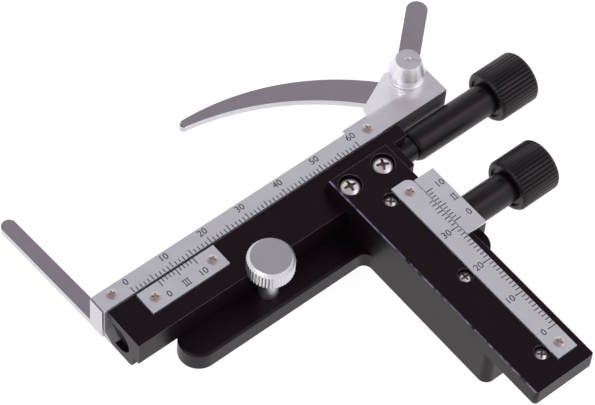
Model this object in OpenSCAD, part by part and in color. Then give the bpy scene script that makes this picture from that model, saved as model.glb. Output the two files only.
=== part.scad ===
// Mechanical stage that clamps on the plain stage of a bench microscope.
// Two side knobs move a specimen slide along X and Y against millimetre scales with verniers.
// Origin: the clamp screw's axis where it leaves the arm's underside. +X along the X scale, +Z up, millimetres.

/* [Base bracket] */
// Thickness of the clamp arm
arm_t = 5; // [4:0.5:6]
// Width of the clamp arm
arm_w = 8.9; // [8:0.1:11]
// Distance from the clamp screw to the centre of the arm's round end
arm_end = 18.35; // [12:0.05:26]
// Rounding along the arm's top edge
arm_edge_r = 0.7; // [0.3:0.1:1.2]
// Distance from the clamp screw to the base rail's left side
rail_x = 23; // [18:0.5:30]
// Width of the base rail
rail_w = 14.1; // [13.5:0.1:18]
// Length of the base rail
rail_l = 44.9; // [40:0.1:55]
// Height of the base rail above the arm's underside
rail_h = 11.75; // [11.5:0.05:14]
// Radius of the base rail's end corners
rail_corner_r = 2.1; // [1:0.1:4]
// Radius of the fillet between the arm and the rail
arm_fillet_r = 2; // [1:0.1:4]
// Width of the side block that carries the Y vernier and the Y shaft
block_w = 4.4; // [4:0.1:7]
// Radius of the ledge at the side block's near end
ledge_r = 4.15; // [3:0.05:4.4]
// Height of the ledge above the rail
ledge_h = 1.15; // [0.5:0.05:2]

/* [Clamp screw] */
// Outer radius of the clamp screw's thread
thread_r = 2; // [1.5:0.25:3]
// Length of thread below the arm
thread_l = 5.5; // [4:0.5:10]
// Radius of the neck that turns in the arm
neck_r = 1.6; // [1:0.05:1.7]
// Depth of the relief round the top of the thread
relief_h = 0.9; // [0.5:0.1:1.5]
// Radius of the plain stem under the head
stem_r = 2.2; // [2.1:0.02:2.24]
// Length of the stem between the arm and the head
stem_l = 9.27; // [7:0.01:12]
// Radius of the knurled head
head_r = 5.27; // [4:0.01:7]
// Height of the knurled head
head_h = 4.5; // [3:0.1:7]
// Bevel at the head's top, across and down
head_bevel = [0.94, 0.7];

/* [Y bar] */
// Width of the Y bar
bar_w = 15.75; // [14.7:0.05:18]
// Length of the Y bar's top
bar_l = 65; // [60:0.5:80]
// Thickness of the Y bar
bar_t = 4.35; // [3:0.05:6]
// Overhang of the Y bar past the base rail on its left side
bar_overhang = 0.75; // [0.2:0.05:1]
// How far the bevel runs out at the Y bar's far end
bar_bevel = 1.4; // [0.5:0.1:2]
// Distance from the Y bar's far top edge to the far side of the X housing
bar_inset = 4.65; // [3.5:0.05:6]
// Rounding along the Y bar's top edges
bar_edge_r = 0.5; // [0.3:0.1:1.2]
// Radius of the Y bar's near corners
bar_corner_r = 0.9; // [0.5:0.1:3]
// Height of the dovetail under the Y bar
dovetail_h = 2.6; // [2:0.1:2.8]
// Width of the dovetail at its neck
dovetail_w = 8.1; // [7.5:0.1:8.5]
// Angle of the dovetail's flanks from upright
dovetail_angle = 30; // [15:1:30]
// Travel of the Y bar from the stored reading back to zero
y_travel = 31.5; // [20:0.5:31.5]

/* [Y scale and vernier] */
// Thickness of the scale plates on the Y bar
y_plate_t = 0.5; // [0.3:0.05:0.8]
// Width of the Y scale plate
y_scale_w = 5.12; // [4.5:0.01:5.3]
// Length of the Y scale plate
y_scale_l = 52; // [45:0.5:55]
// Distance from the Y bar's near end to the Y scale plate
y_scale_start = 3.4; // [2:0.1:6]
// Distance from the Y bar's right side to the Y scale plate
y_scale_inset = 1.83; // [1.6:0.01:2]
// Distance from the base rail's far end to the Y vernier plate
y_vernier_inset = 4.85; // [2:0.05:8]
// Length of the Y vernier plate
y_vernier_l = 17; // [14:0.5:20]
// Distance between the Y scale plate and the Y vernier plate
vernier_gap = 0.18; // [0.1:0.01:0.3]

/* [X housing] */
// Length of the X housing
housing_l = 73.7; // [70:0.1:80]
// How far the X housing reaches left of the clamp screw
housing_left = 32.1; // [28:0.1:36]
// Width of the X housing's top
housing_w = 10.3; // [9.5:0.05:12]
// How far the housing's upper part reaches out over the arm
overhang_w = 2.15; // [1.5:0.05:2.4]
// Height of the housing below the knob axis
housing_drop = 5.2; // [4.5:0.05:5.6]
// Radius of the channel that the lead screw runs in
channel_r = 3.4; // [3:0.1:3.6]
// Distance from the housing's far side to the lead screw's axis
screw_inset = 3.7; // [3.5:0.1:4.4]
// Length of the tab at the housing's right end
tab_l = 3.8; // [2:0.1:4.5]
// Width of the tab at the housing's right end
tab_w = 3.25; // [2:0.05:4]
// Radius of the housing's right-hand corners
housing_corner_r = 0.6; // [0.3:0.1:1.5]

/* [X slide] */
// Width of the X slide bar
slide_w = 4.15; // [3.5:0.05:6]
// Distance from the housing's left end to the slide's left end
slide_left = 0.6; // [0.2:0.1:2]
// Length of the X slide bar
slide_l = 74.2; // [70:0.1:80]
// Height of the slide's foot at its root
foot_h = 2.2; // [1.5:0.05:2.3]
// Height of the slide's foot at its tip
foot_tip_h = 0.55; // [0.45:0.05:0.6]
// Thickness of the guide rail's leg under the housing's top
guide_t = 1; // [0.8:0.05:1.2]
// Width and height of the guide rail's rib
guide_rib = [0.7, 0.85];
// Length of the half nut
nut_l = 6.6; // [5:0.1:6.8]
// Distance from the slide's left end to the half nut
nut_start = 58.4; // [58.2:0.1:58.6]

/* [X scale and vernier] */
// Thickness of the X scale plate
x_scale_t = 0.6; // [0.4:0.05:0.6]
// Width of the X scale plate
x_scale_w = 4.43; // [4:0.01:6]
// Length of the X vernier plate
x_vernier_l = 19.95; // [15:0.05:25]
// Width of the X vernier plate
x_vernier_w = 5.65; // [4.5:0.05:7]
// Distance from the housing's left end to the X vernier plate
x_vernier_start = 7; // [4:0.1:10]
// Distance from the housing's far side to the X vernier plate
x_vernier_inset = 0.45; // [0.3:0.05:1]

/* [Rack and pinion] */
// Module of the teeth
tooth_m = 0.5; // [0.5:0.05:0.5]
// Teeth on the pinion
pinion_teeth = 14; // [13:1:15]
// Pressure angle of the teeth
pressure_angle = 25; // [20:1:25]
// Width of the rack
rack_w = 2; // [1.5:0.1:2.1]
// Width of the pinion
pinion_w = 1.8; // [1.4:0.1:1.9]
// Thickness of the rack above its teeth
rack_back = 1.25; // [1:0.05:1.4]
// Teeth on the rack
rack_teeth = 26; // [24:1:27]
// Radius of the Y shaft
y_shaft_r = 1.5; // [1:0.1:1.6]
// Outer radius of the Y shaft's bush
y_bush_r = 2.3; // [1.9:0.1:2.4]
// Distance from the near end of the Y vernier plate to the Y shaft
y_shaft_inset = 8.6; // [7:0.1:10]

/* [Lead screw] */
// Outer radius of the lead screw's thread
lead_r = 2; // [1.6:0.1:2.2]
// Radius of the plain shaft at the right of the lead screw
x_shaft_r = 2.2; // [2.1:0.05:2.3]
// Radius of the pin at the lead screw's left end
lead_pin_r = 1.2; // [0.8:0.1:1.4]
// Length of the bush at the left end of the lead screw
left_bush_l = 1.6; // [1:0.05:1.6]
// How far inside the housing's open end the left bush sits
left_bush_inset = 1.4; // [0.5:0.05:1.45]
// Length of the bush at the right end of the lead screw
right_bush_l = 2.6; // [2:0.1:2.7]

/* [Knobs] */
// Radius of the knobs
knob_r = 6; // [5:0.01:8]
// Length of the knobs
knob_l = 10.4; // [8:0.05:14]
// Bevel at the knobs' rims
knob_bevel = 0.55; // [0.3:0.05:1]
// Number of ribs round a knob
knob_ribs = 40; // [32:1:48]
// Depth of the grooves between the ribs
rib_depth = 0.24; // [0.1:0.01:0.3]
// Radius of the knob sleeves
sleeve_r = 3.67; // [3.2:0.01:3.7]
// Length of the Y sleeve
y_sleeve_l = 14.3; // [10:0.1:20]
// Length of the X sleeve
x_sleeve_l = 21.4; // [18:0.1:26]
// Length of the X sleeve's neck beside the housing
x_neck_l = 5; // [4.6:0.1:7]
// Radius of the X sleeve's neck
x_neck_r = 2.85; // [2.5:0.05:3.1]
// Bevel at the X sleeve's left end
sleeve_bevel = 1; // [0.3:0.1:1.4]

/* [Fingers and clamp] */
// Height of the fingers' top above the arm's underside
finger_top = 4.6; // [4:0.1:4.7]
// Thickness of the fixed finger
fixed_t = 1.7; // [1.5:0.05:2.1]
// Width of the fixed finger at its root
fixed_w = 3.5; // [3:0.1:4.5]
// Length of the fixed finger past the slide bar
fixed_l = 30.6; // [25:0.1:36]
// Width of the fixed finger at its tip
fixed_tip_w = 3.4; // [2:0.1:3.5]
// Angle that the fixed finger splays outwards
fixed_splay = 2.2; // [0:0.1:5]
// Thickness of the fixed finger's upright tab
tab_t = 0.5; // [0.3:0.05:0.8]
// Thickness of the curved finger
curved_t = 1.6; // [1.2:0.05:1.8]
// Radius of the curved finger's outer edge
curved_outer_r = 58.1; // [45:0.1:75]
// Radius of the curved finger's inner edge
curved_inner_r = 60.6; // [45:0.1:75]
// Reach of the curved finger's tip from the clamp pivot, along the slide and away from it
curved_reach = [42.35, 23.4];
// How far the finger's outer and inner edges stand off its middle line at the pivot
curved_root = [5.16, 6.4];
// How far the finger's outer and inner edges stand off its middle line at the tip
curved_tip = [1.19, 0.8];
// Length of the clamp block
clamp_l = 18; // [17:0.1:24]
// Depth of the clamp block
clamp_d = 12.15; // [12.1:0.05:14]
// Angle at which the clamp block's far left top slopes down
clamp_slope = 10; // [2:1:15]
// Place of the clamp pivot, from the clamp block's near left corner
pivot_at = [13.35, 8.03];
// Radius of the clamp hub's foot
hub_r = 4; // [3.5:0.1:4.1]
// Radius of the clamp hub's top
hub_top_r = 2.9; // [2:0.05:3.2]
// Height of the clamp hub
hub_h = 5.95; // [5:0.05:8]
// Radius of the clamp spindle
spindle_r = 1.6; // [1.2:0.1:1.8]
// Length of the clamp lever from its pivot
lever_l = 16.2; // [12:0.1:22]
// Width of the clamp lever
lever_w = 4.7; // [3.5:0.1:5]
// Thickness of the clamp lever
lever_t = 1.2; // [0.8:0.1:1.6]
// Direction of the clamp lever from +X
lever_angle = 41.6; // [30:0.1:60]
// Wire thickness of the clamp spring
spring_wire = 0.6; // [0.4:0.05:0.7]
// Turns of the clamp spring
spring_turns = 3; // [2:1:4]

/* [Screws] */
// Radii of the big screws on the Y bar: thread, head, counterbore
big_screw = [1.25, 2.15, 2.6];
// Radii of the small screws on the Y bar: thread, head, counterbore
small_screw = [0.9, 1.45, 1.7];
// Radii of the scale plates' screws: thread, head
plate_screw = [0.7, 1.25];
// Height of the scale plates' screw heads
plate_head_h = 0.35; // [0.2:0.05:0.5]
// Radii of the hidden screws: thread, head
hidden_screw = [0.6, 1];
// Depths of the counterbores for the big and the small screws on the Y bar
seat_depth = [1.6, 1.6];
// Heights of the heads of the big and the small screws on the Y bar
head_depth = [1.5, 1.1];

/* [Fits] */
// Radial clearance of turning shafts
run_gap = 0.05; // [0.03:0.01:0.08]
// Clearance between sliding faces
slide_gap = 0.06; // [0.03:0.01:0.1]
// Gap between parts that pass each other without touching
pass_gap = 0.2; // [0.15:0.01:0.3]
// Backlash between the rack and the pinion
backlash = 0.08; // [0.05:0.01:0.15]

/* [Hidden] */
$fn = 64;
cut = 1; // how far a cutting tool runs past a face

black = [0.10, 0.09, 0.10];
silver = [0.72, 0.73, 0.77];
steel = [0.50, 0.50, 0.53];
chrome = [0.85, 0.85, 0.87];
brass = [0.75, 0.60, 0.30];

// Clamp screw
stem_z = arm_t + 0.03;                         // the stem's shoulder just clears the arm
neck_in_stem = 7;

// Places across the stage, from the clamp arm outwards
step_y = arm_w / 2 + 0.15;                     // far lower face of the housing, just clear of the arm
housing_near = step_y - overhang_w;
housing_far = housing_near + housing_w;
rail_far = housing_near - 0.3;
rail_near = rail_far - rail_l;
rail_right = rail_x + rail_w;
block_right = rail_right + block_w;
bar_left = rail_x - bar_overhang;
bar_right = bar_left + bar_w;
bar_far = housing_far - bar_inset;
bar_near = bar_far - bar_l;
bar_z = rail_h + pass_gap;                     // underside of the Y bar and top of the housing
bar_top = bar_z + bar_t;

// Rack and pinion
pinion_r = tooth_m * pinion_teeth / 2;
addendum = 0.9 * tooth_m;
dedendum = 1.2 * tooth_m;
pitch = PI * tooth_m;
drive_z = bar_z - rack_back - dedendum - pinion_r; // height of both knob axes
pitch_z = drive_z + pinion_r;
chamber_r = pinion_r + addendum + pass_gap;

// Y scale, vernier and shaft
y_scale_x = bar_right - y_scale_inset - y_scale_w;
y_scale_y = bar_near + y_scale_start;
y_vernier_x = y_scale_x + y_scale_w + vernier_gap;
y_vernier_far = rail_far - y_vernier_inset;
y_vernier_near = y_vernier_far - y_vernier_l;
y_shaft_y = y_vernier_near + y_shaft_inset;
plate_top = bar_top + y_plate_t;
vernier_lift = 0.05;                           // the Y vernier plate rides just above the bar
ledge_w = 0.7;                                 // straight part of the ledge before its round corner

// Dovetail, with the small screws on its centre line and the rack beside them
dovetail_x = y_scale_x - 1.45;
flank = dovetail_h * tan(dovetail_angle);
rack_x = dovetail_x + dovetail_w / 2 - 0.6 - rack_w;
y_bush_x = dovetail_x + dovetail_w / 2 + flank + 0.5; // inner end of the Y shaft's bush
rack_slot = 0.05;
rack_mid = rack_x + rack_w / 2;
rack_pitches = ceil(y_travel / pitch + 3);     // whole pitches of rack on the near side of the pinion
rack_start = y_shaft_y - rack_pitches * pitch;
rack_end = rack_start + rack_teeth * pitch;
floor_z = bar_z - dovetail_h - 0.15;

// X drive and slide
drive_y = housing_far - screw_inset;
housing_x = -housing_left;
housing_right = housing_x + housing_l;
overhang_z = arm_t + 0.25;
housing_bottom = drive_z - housing_drop;
channel_top = drive_z + channel_r;
channel_bottom = drive_z - channel_r;
slide_x = housing_x - slide_left;
slide_right = slide_x + slide_l;
slide_y = housing_far + pass_gap;
slide_far = slide_y + slide_w;
scale_top = bar_z + 0.65;                      // top of the X scale and vernier plates
slide_top = scale_top - x_scale_t;
foot_bottom = channel_bottom - 0.45;
lip_slope = 0.78;                              // run per unit of height of the housing's slanted lip
lip_y = drive_y + 1.3;
guide_top = channel_top - slide_gap;
rib_y = slide_y - 1.6;                         // inner face of the guide rail's rib
nut_x = slide_x + nut_start;
nut_half = guide_top - guide_t - drive_z;       // half the half nut's height, up to the guide rail
left_bush_x = housing_x + left_bush_inset;
tab_inset = 0.25;                              // from the slide's near face to the fixed finger's tab
thrust_l = 0.9;                                // collar that takes the lead screw's thrust
thrust_r = 3;
end_gap = 0.1;

// Clamp
clamp_x = slide_right;
clamp_y = slide_y + 0.02;
clamp_bottom = finger_top + pass_gap;
pivot = [clamp_x + pivot_at[0], clamp_y + pivot_at[1]];
hub_z = scale_top + run_gap;
hub_top = hub_z + hub_h;
lever_top = hub_top - 0.2;
finger_tip = pivot + [-curved_reach[0], curved_reach[1]];
finger_tip_r = 0.85;
eye_r = 4.2;
spring_r = 2.6;                                // radius of the clamp spring's wire centre line
spring_room_r = spring_r + spring_wire / 2 + pass_gap;
spring_pitch = spring_wire + 0.45;
spring_room_h = spring_turns * spring_pitch + spring_wire + 2 * pass_gap;

// Screw places
big_places = [for (dx = [3, 11.95]) [bar_left + dx, housing_near + 2.3]];
bar_places = [for (dy = [6.7, 30.1, bar_l - 11.35]) [dovetail_x, bar_near + dy]];
y_scale_places = [for (dy = [2.8, y_scale_l - 2.9]) [y_scale_x + 2.75, y_scale_y + dy]];
x_vernier_places = [for (dx = [2.7, x_vernier_l - 2.35]) [housing_x + x_vernier_start + dx, housing_far - x_vernier_inset - 2.8]];
x_scale_places = [for (x = [slide_x + 3.67, slide_right - 2.19]) [x, slide_y + 2.45]];
finger_places = [for (d = [[1.1, 1.3], [2, 3.2]]) [slide_x + d[0], slide_y + d[1]]];
nut_places = [for (dx = [2, nut_l - 2]) nut_x + dx];
ear_t = 1.45;                                  // ear that holds the clamp block to the slide bar
ear_l = 6.6;
ear_z = drive_z + 1.2;
ear_places = [for (dx = [2, 4.6]) clamp_x - ear_l + dx];
screw_grip = 3;                                // how deep a screw reaches into its hole

echo(spring_self_gap = spring_pitch - spring_wire);

// ---- Shared shapes ----

// Box from one corner to the opposite one
module box(a, b) {
    translate(a) cube(b - a);
}

// Cylinder along +X from x0 to x1 about the line (y, z)
module x_rod(x0, x1, y, z, r) {
    translate([x0, y, z]) rotate([0, 90, 0]) cylinder(h = x1 - x0, r = r);
}

// Cylinder along +Y from y0 to y1 about the line (x, z)
module y_rod(y0, y1, x, z, r) {
    translate([x, y0, z]) rotate([-90, 0, 0]) cylinder(h = y1 - y0, r = r);
}

// Extrudes a (y, z) section along +X
module along_x(x0, x1) {
    translate([x0, 0, 0]) rotate([90, 0, 90]) linear_extrude(x1 - x0) children();
}

// Extrudes an (x, z) section along +Y
module along_y(y0, y1) {
    translate([0, y1, 0]) rotate([90, 0, 0]) linear_extrude(y1 - y0) children();
}

// Rectangle from a to b whose corners at the listed signs are rounded
module rounded(a, b, r, corners) {
    difference() {
        translate(a) square(b - a);
        for (c = corners) {
            at = [c[0] < 0 ? a[0] : b[0], c[1] < 0 ? a[1] : b[1]];
            translate(at - [c[0] * r, c[1] * r]) difference() {
                translate([c[0] < 0 ? -r - cut : 0, c[1] < 0 ? -r - cut : 0]) square(r + cut);
                circle(r);
            }
        }
    }
}

// Body of revolution about +X, from a list of [x, r] points
module x_turned(x, y, z, profile) {
    points = concat([[0, profile[0][0]]], [for (p = profile) [p[1], p[0]]], [[0, profile[len(profile) - 1][0]]]);
    translate([x, y, z]) rotate([0, 90, 0]) rotate_extrude() polygon(points);
}

// Screw with its seat at z = 0: head above, thread below
module screw(head_r, head_h, thread_r, thread_l) {
    cylinder(h = head_h, r = head_r);
    translate([0, 0, -thread_l]) cylinder(h = thread_l, r = thread_r);
}

// Holes for a screw's thread at each place, from z0 to z1
module holes(places, z0, z1, r) {
    for (p = places) translate([p[0], p[1], z0]) cylinder(h = z1 - z0, r = r);
}

// ---- Base bracket ----

module arm_section(half) {
    rounded([half ? 0 : -arm_w / 2, 0], [arm_w / 2, arm_t], arm_edge_r, half ? [[1, 1]] : [[1, 1], [-1, 1]]);
}

module clamp_arm() {
    along_x(-arm_end, rail_x + cut) arm_section(false);
    translate([-arm_end, 0, 0]) rotate_extrude() arm_section(true);
    // fillet between the arm and the rail
    translate([rail_x, -arm_w / 2, 0]) linear_extrude(arm_t - arm_edge_r) difference() {
        translate([-arm_fillet_r, -arm_fillet_r]) square([arm_fillet_r + cut, arm_fillet_r + cut]);
        translate([-arm_fillet_r, -arm_fillet_r]) circle(arm_fillet_r);
    }
}

module base_rail() {
    linear_extrude(rail_h)
        rounded([rail_x, rail_near], [rail_right, rail_far], rail_corner_r, [[-1, -1], [1, -1]]);
    box([rail_x, rail_far - cut, 0], [rail_right, arm_w / 2, arm_t]);
}

// Side block: a ledge with a round corner, and the raised part under the Y vernier plate
module side_block() {
    linear_extrude(rail_h + ledge_h) union() {
        translate([rail_right - cut, y_vernier_near - ledge_w]) square([ledge_r + cut, ledge_w + cut]);
        translate([rail_right - cut, y_vernier_near]) square([block_w + cut, y_vernier_l]);
        intersection() {
            translate([rail_right, y_vernier_near - ledge_w]) circle(ledge_r);
            translate([rail_right - cut, y_vernier_near - ledge_w - ledge_r]) square([ledge_r + cut, ledge_r + cut]);
        }
    }
    box([rail_right, y_vernier_near, 0], [block_right, y_vernier_far, plate_top - y_plate_t + vernier_lift]);
}

module dovetail_section(gap) {
    half = dovetail_w / 2 + gap;
    depth = dovetail_h + (gap > 0 ? bar_z - dovetail_h - floor_z : 0);
    spread = depth * tan(dovetail_angle);
    polygon([
        [dovetail_x - half, bar_z], [dovetail_x + half, bar_z],
        [dovetail_x + half + spread, bar_z - depth], [dovetail_x - half - spread, bar_z - depth],
    ]);
}

module base_bracket() {
    color(black) difference() {
        union() {
            clamp_arm();
            base_rail();
            side_block();
        }
        // the bar passes beside the raised block
        box([rail_right - cut - 0.1, rail_near - cut, rail_h], [bar_right + pass_gap, rail_far + cut, plate_top]);
        // dovetail way
        along_y(rail_near - cut, rail_far + cut) dovetail_section(slide_gap);
        // room for the pinion, open to the dovetail way
        x_rod(rack_mid - pinion_w / 2 - pass_gap, rack_mid + pinion_w / 2 + pass_gap, y_shaft_y, drive_z, chamber_r);
        box(
            [rack_mid - pinion_w / 2 - pass_gap, y_shaft_y - chamber_r, drive_z],
            [rack_mid + pinion_w / 2 + pass_gap, y_shaft_y + chamber_r, floor_z + cut / 2]
        );
        // the Y shaft's blind bearing, clearance hole and bush seat
        x_rod(rack_mid - 5.5, y_bush_x, y_shaft_y, drive_z, y_shaft_r + run_gap);
        x_rod(y_bush_x, block_right + cut, y_shaft_y, drive_z, y_bush_r);
        // the clamp screw's neck and the relief for its thread
        translate([0, 0, -cut]) cylinder(h = arm_t + 2 * cut, r = neck_r + 0.08);
        translate([0, 0, -cut]) cylinder(h = relief_h + cut, r = thread_r + 0.3);
    }
}

module y_vernier_plate() {
    color(silver) box(
        [y_vernier_x, y_vernier_near, bar_top + vernier_lift],
        [block_right, y_vernier_far, plate_top]
    );
}

module y_shaft_bush() {
    color(brass) difference() {
        x_rod(y_bush_x, block_right, y_shaft_y, drive_z, y_bush_r);
        x_rod(y_bush_x - cut, block_right + cut, y_shaft_y, drive_z, y_shaft_r + run_gap);
    }
}

// ---- Clamp screw ----

module clamp_screw_head() {
    head_z = stem_z + stem_l;
    head_top = head_z + head_h;
    color(chrome) difference() {
        rotate_extrude() polygon([
            [0, stem_z], [stem_r, stem_z], [stem_r, head_z], [head_r - 0.3, head_z], [head_r, head_z + 0.3],
            [head_r, head_top - head_bevel[1]], [head_r - head_bevel[0], head_top], [0, head_top],
        ]);
        translate([0, 0, stem_z - cut]) cylinder(h = neck_in_stem + cut, r = neck_r);
    }
}

module clamp_screw_stud() {
    color(steel) rotate_extrude() polygon([
        [0, -thread_l], [thread_r - 0.5, -thread_l], [thread_r, -thread_l + 0.5], [thread_r, 0],
        [neck_r, 0], [neck_r, stem_z + neck_in_stem], [0, stem_z + neck_in_stem],
    ]);
}

// ---- Y carriage ----

module bar_outline() {
    rounded([bar_left, bar_near], [bar_right, bar_far + bar_bevel], bar_corner_r, [[-1, -1], [1, -1]]);
}

module y_bar() {
    color(black) difference() {
        intersection() {
            translate([0, 0, bar_z]) linear_extrude(bar_t) bar_outline();
            along_y(bar_near - cut, bar_far + bar_bevel + cut)
                rounded([bar_left, bar_z], [bar_right, bar_top], bar_edge_r, [[-1, 1], [1, 1]]);
            along_x(bar_left - cut, bar_right + cut) polygon([
                [bar_near - cut, bar_z], [bar_far + bar_bevel, bar_z], [bar_far, bar_top], [bar_near - cut, bar_top],
            ]);
        }
        holes(big_places, bar_z - cut, bar_top, big_screw[0]);
        holes(big_places, bar_top - seat_depth[0], bar_top + cut, big_screw[2]);
        holes(bar_places, bar_z - cut, bar_top, small_screw[0]);
        holes(bar_places, bar_top - seat_depth[1], bar_top + cut, small_screw[2]);
        holes(y_scale_places, bar_top - screw_grip, bar_top + cut, plate_screw[0]);
    }
}

module y_bar_screws() {
    color(chrome) for (p = bar_places) translate([p[0], p[1], bar_top - seat_depth[1]])
        screw(small_screw[1], head_depth[1], small_screw[0], bar_t - seat_depth[1] + dovetail_h - 0.3);
}

module housing_screws() {
    color(chrome) for (p = big_places) translate([p[0], p[1], bar_top - seat_depth[0]])
        screw(big_screw[1], head_depth[0], big_screw[0], bar_t - seat_depth[0] + screw_grip);
}

module y_scale_plate() {
    color(silver) difference() {
        translate([0, 0, bar_top]) linear_extrude(y_plate_t) rounded(
            [y_scale_x, y_scale_y], [y_scale_x + y_scale_w, y_scale_y + y_scale_l], 2, [[1, 1]]
        );
        holes(y_scale_places, bar_top - cut, plate_top + cut, plate_screw[0]);
    }
}

module y_scale_screws() {
    color(chrome) for (p = y_scale_places) translate([p[0], p[1], plate_top])
        screw(plate_screw[1], plate_head_h, plate_screw[0], y_plate_t + screw_grip);
}

module y_dovetail() {
    color(steel) difference() {
        along_y(bar_near + 2, bar_far - 7.5) dovetail_section(0);
        holes(bar_places, bar_z - dovetail_h + 0.3, bar_z + cut, small_screw[0]);
        // slot for the rack and for the pinion that reaches up into it
        box(
            [rack_x - rack_slot, rack_start - rack_slot, bar_z - dovetail_h - cut],
            [rack_x + rack_w + rack_slot, y_shaft_y + chamber_r, bar_z + cut]
        );
    }
}

// Rack teeth point down; one space lies on the pinion's centre line at the stored reading
module y_rack() {
    slope = tan(pressure_angle);
    half = pitch / 4 - backlash / 2;
    tooth = [
        [-half - dedendum * slope, pitch_z + dedendum], [-half + addendum * slope, pitch_z - addendum],
        [half - addendum * slope, pitch_z - addendum], [half + dedendum * slope, pitch_z + dedendum],
    ];
    teeth = [for (i = [0:rack_teeth - 1]) each [for (p = tooth) p + [rack_start + (i + 0.5) * pitch, 0]]];
    root_z = pitch_z + dedendum;
    color(brass) along_x(rack_x, rack_x + rack_w) polygon(concat(
        [[rack_start, bar_z], [rack_start, root_z]], teeth, [[rack_end, root_z], [rack_end, bar_z]]
    ));
}

// Housing: a channel open to the far side, stepped to clear the arm, with a slanted lip for the slide's foot
module housing_section() {
    difference() {
        union() {
            translate([housing_near, overhang_z]) square([housing_w, bar_z - overhang_z]);
            polygon([
                [step_y, overhang_z + cut], [step_y, housing_bottom + 0.45], [step_y + 0.9, housing_bottom],
                [lip_y + (channel_bottom - housing_bottom) * lip_slope, housing_bottom],
                [lip_y, channel_bottom], [lip_y, overhang_z + cut],
            ]);
        }
        translate([drive_y, drive_z]) circle(channel_r);
        translate([drive_y, channel_bottom]) square([housing_w, 2 * channel_r]);
        translate([rib_y - slide_gap, channel_top - cut])
            square([guide_rib[0] + 2 * slide_gap, guide_rib[1] + cut + slide_gap]);
    }
}

module x_housing() {
    color(black) difference() {
        union() {
            difference() {
                along_x(housing_x, housing_right) housing_section();
                translate([0, 0, housing_bottom - cut]) linear_extrude(bar_z - housing_bottom + 2 * cut) difference() {
                    translate([housing_right - housing_corner_r, housing_near - cut]) square(housing_corner_r + cut);
                    translate([housing_right - housing_corner_r, housing_near + housing_corner_r])
                        circle(housing_corner_r);
                }
            }
            translate([0, 0, channel_top]) linear_extrude(bar_z - channel_top) difference() {
                rounded(
                    [housing_right - cut, housing_far - tab_w], [housing_right + tab_l, housing_far],
                    housing_corner_r, [[1, -1]]
                );
                translate([housing_right - 2 * cut, rib_y - slide_gap])
                    square([tab_l + 4 * cut, guide_rib[0] + 2 * slide_gap]);
            }
            box(
                [housing_right - cut, rib_y - 0.3, channel_top + guide_rib[1] + slide_gap],
                [housing_right + tab_l, rib_y + 1, bar_z]
            );
        }
        holes(big_places, bar_z - screw_grip, bar_z + cut, big_screw[0]);
        holes(x_vernier_places, bar_z - 1.2, bar_z + cut, plate_screw[0]);
    }
}

module x_vernier_plate() {
    x0 = housing_x + x_vernier_start;
    y1 = housing_far - x_vernier_inset;
    color(silver) difference() {
        box([x0, y1 - x_vernier_w, bar_z], [x0 + x_vernier_l, y1, scale_top]);
        holes(x_vernier_places, bar_z - cut, scale_top + cut, plate_screw[0]);
    }
}

module x_vernier_screws() {
    color(chrome) for (p = x_vernier_places) translate([p[0], p[1], scale_top])
        screw(plate_screw[1], plate_head_h, plate_screw[0], scale_top - bar_z + 1.2);
}

// Bush pressed in the channel, notched where the guide rail passes
module lead_bush(x0, x1, bore_r) {
    color(brass) difference() {
        x_rod(x0, x1, drive_y, drive_z, channel_r);
        x_rod(x0 - cut, x1 + cut, drive_y, drive_z, bore_r);
        box([x0 - cut, rib_y - pass_gap, guide_top - guide_t - pass_gap], [x1 + cut, slide_y, channel_top + cut]);
    }
}

module lead_screw_left_bush() {
    lead_bush(left_bush_x, left_bush_x + left_bush_l, lead_pin_r + run_gap);
}

module lead_screw_right_bush() {
    lead_bush(housing_right - right_bush_l, housing_right, x_shaft_r + run_gap);
}

// ---- X slide ----

module x_slide_bar() {
    // just clear of the housing's lip at each height
    function foot_y(z) = lip_y + (channel_bottom - z) * lip_slope + slide_gap + 0.04;
    foot_tip = foot_bottom + foot_tip_h;
    color(steel) difference() {
        along_x(slide_x, slide_right) polygon([
            [slide_y, foot_bottom + foot_h], [foot_y(foot_bottom) - 0.15, foot_tip],
            [foot_y(foot_bottom + 0.4), foot_bottom + 0.4], [foot_y(foot_bottom), foot_bottom],
            [slide_far, foot_bottom], [slide_far, slide_top], [slide_y, slide_top],
        ]);
        // seat of the fixed finger
        box([slide_x - cut, slide_y + tab_inset, -cut], [slide_x + fixed_w - 0.4, slide_far + cut, finger_top]);
        // the half nut sits in the foot
        box([nut_x, 0, drive_z - nut_half], [nut_x + nut_l, slide_y, drive_z]);
        holes(finger_places, finger_top - cut, finger_top + screw_grip, hidden_screw[0]);
        holes(x_scale_places, slide_top - screw_grip, slide_top + cut, plate_screw[0]);
        for (x = nut_places) {
            y_rod(slide_y - cut, slide_far, x, drive_z, hidden_screw[0]);
            y_rod(slide_far - 0.8, slide_far + cut, x, drive_z, hidden_screw[1]);
        }
        for (x = ear_places) y_rod(slide_far - screw_grip, slide_far + cut, x, ear_z, hidden_screw[0]);
    }
}

module x_guide_rail() {
    color(brass) along_x(slide_x + fixed_w, slide_right - 1) polygon([
        [slide_y, guide_top - guide_t], [slide_y, guide_top], [rib_y + guide_rib[0], guide_top],
        [rib_y + guide_rib[0], guide_top + guide_rib[1]], [rib_y, guide_top + guide_rib[1]],
        [rib_y, guide_top - guide_t],
    ]);
}

module x_half_nut() {
    color(brass) difference() {
        box([nut_x, drive_y, drive_z - nut_half], [nut_x + nut_l, slide_y, drive_z + nut_half]);
        x_rod(nut_x - cut, nut_x + nut_l + cut, drive_y, drive_z, lead_r + run_gap);
        for (x = nut_places) y_rod(drive_y + lead_r + 0.4, slide_y + cut, x, drive_z, hidden_screw[0]);
    }
}

module half_nut_screws() {
    color(chrome) for (x = nut_places) {
        y_rod(drive_y + lead_r + 0.4, slide_far - 0.8, x, drive_z, hidden_screw[0]);
        y_rod(slide_far - 0.8, slide_far, x, drive_z, hidden_screw[1]);
    }
}

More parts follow.
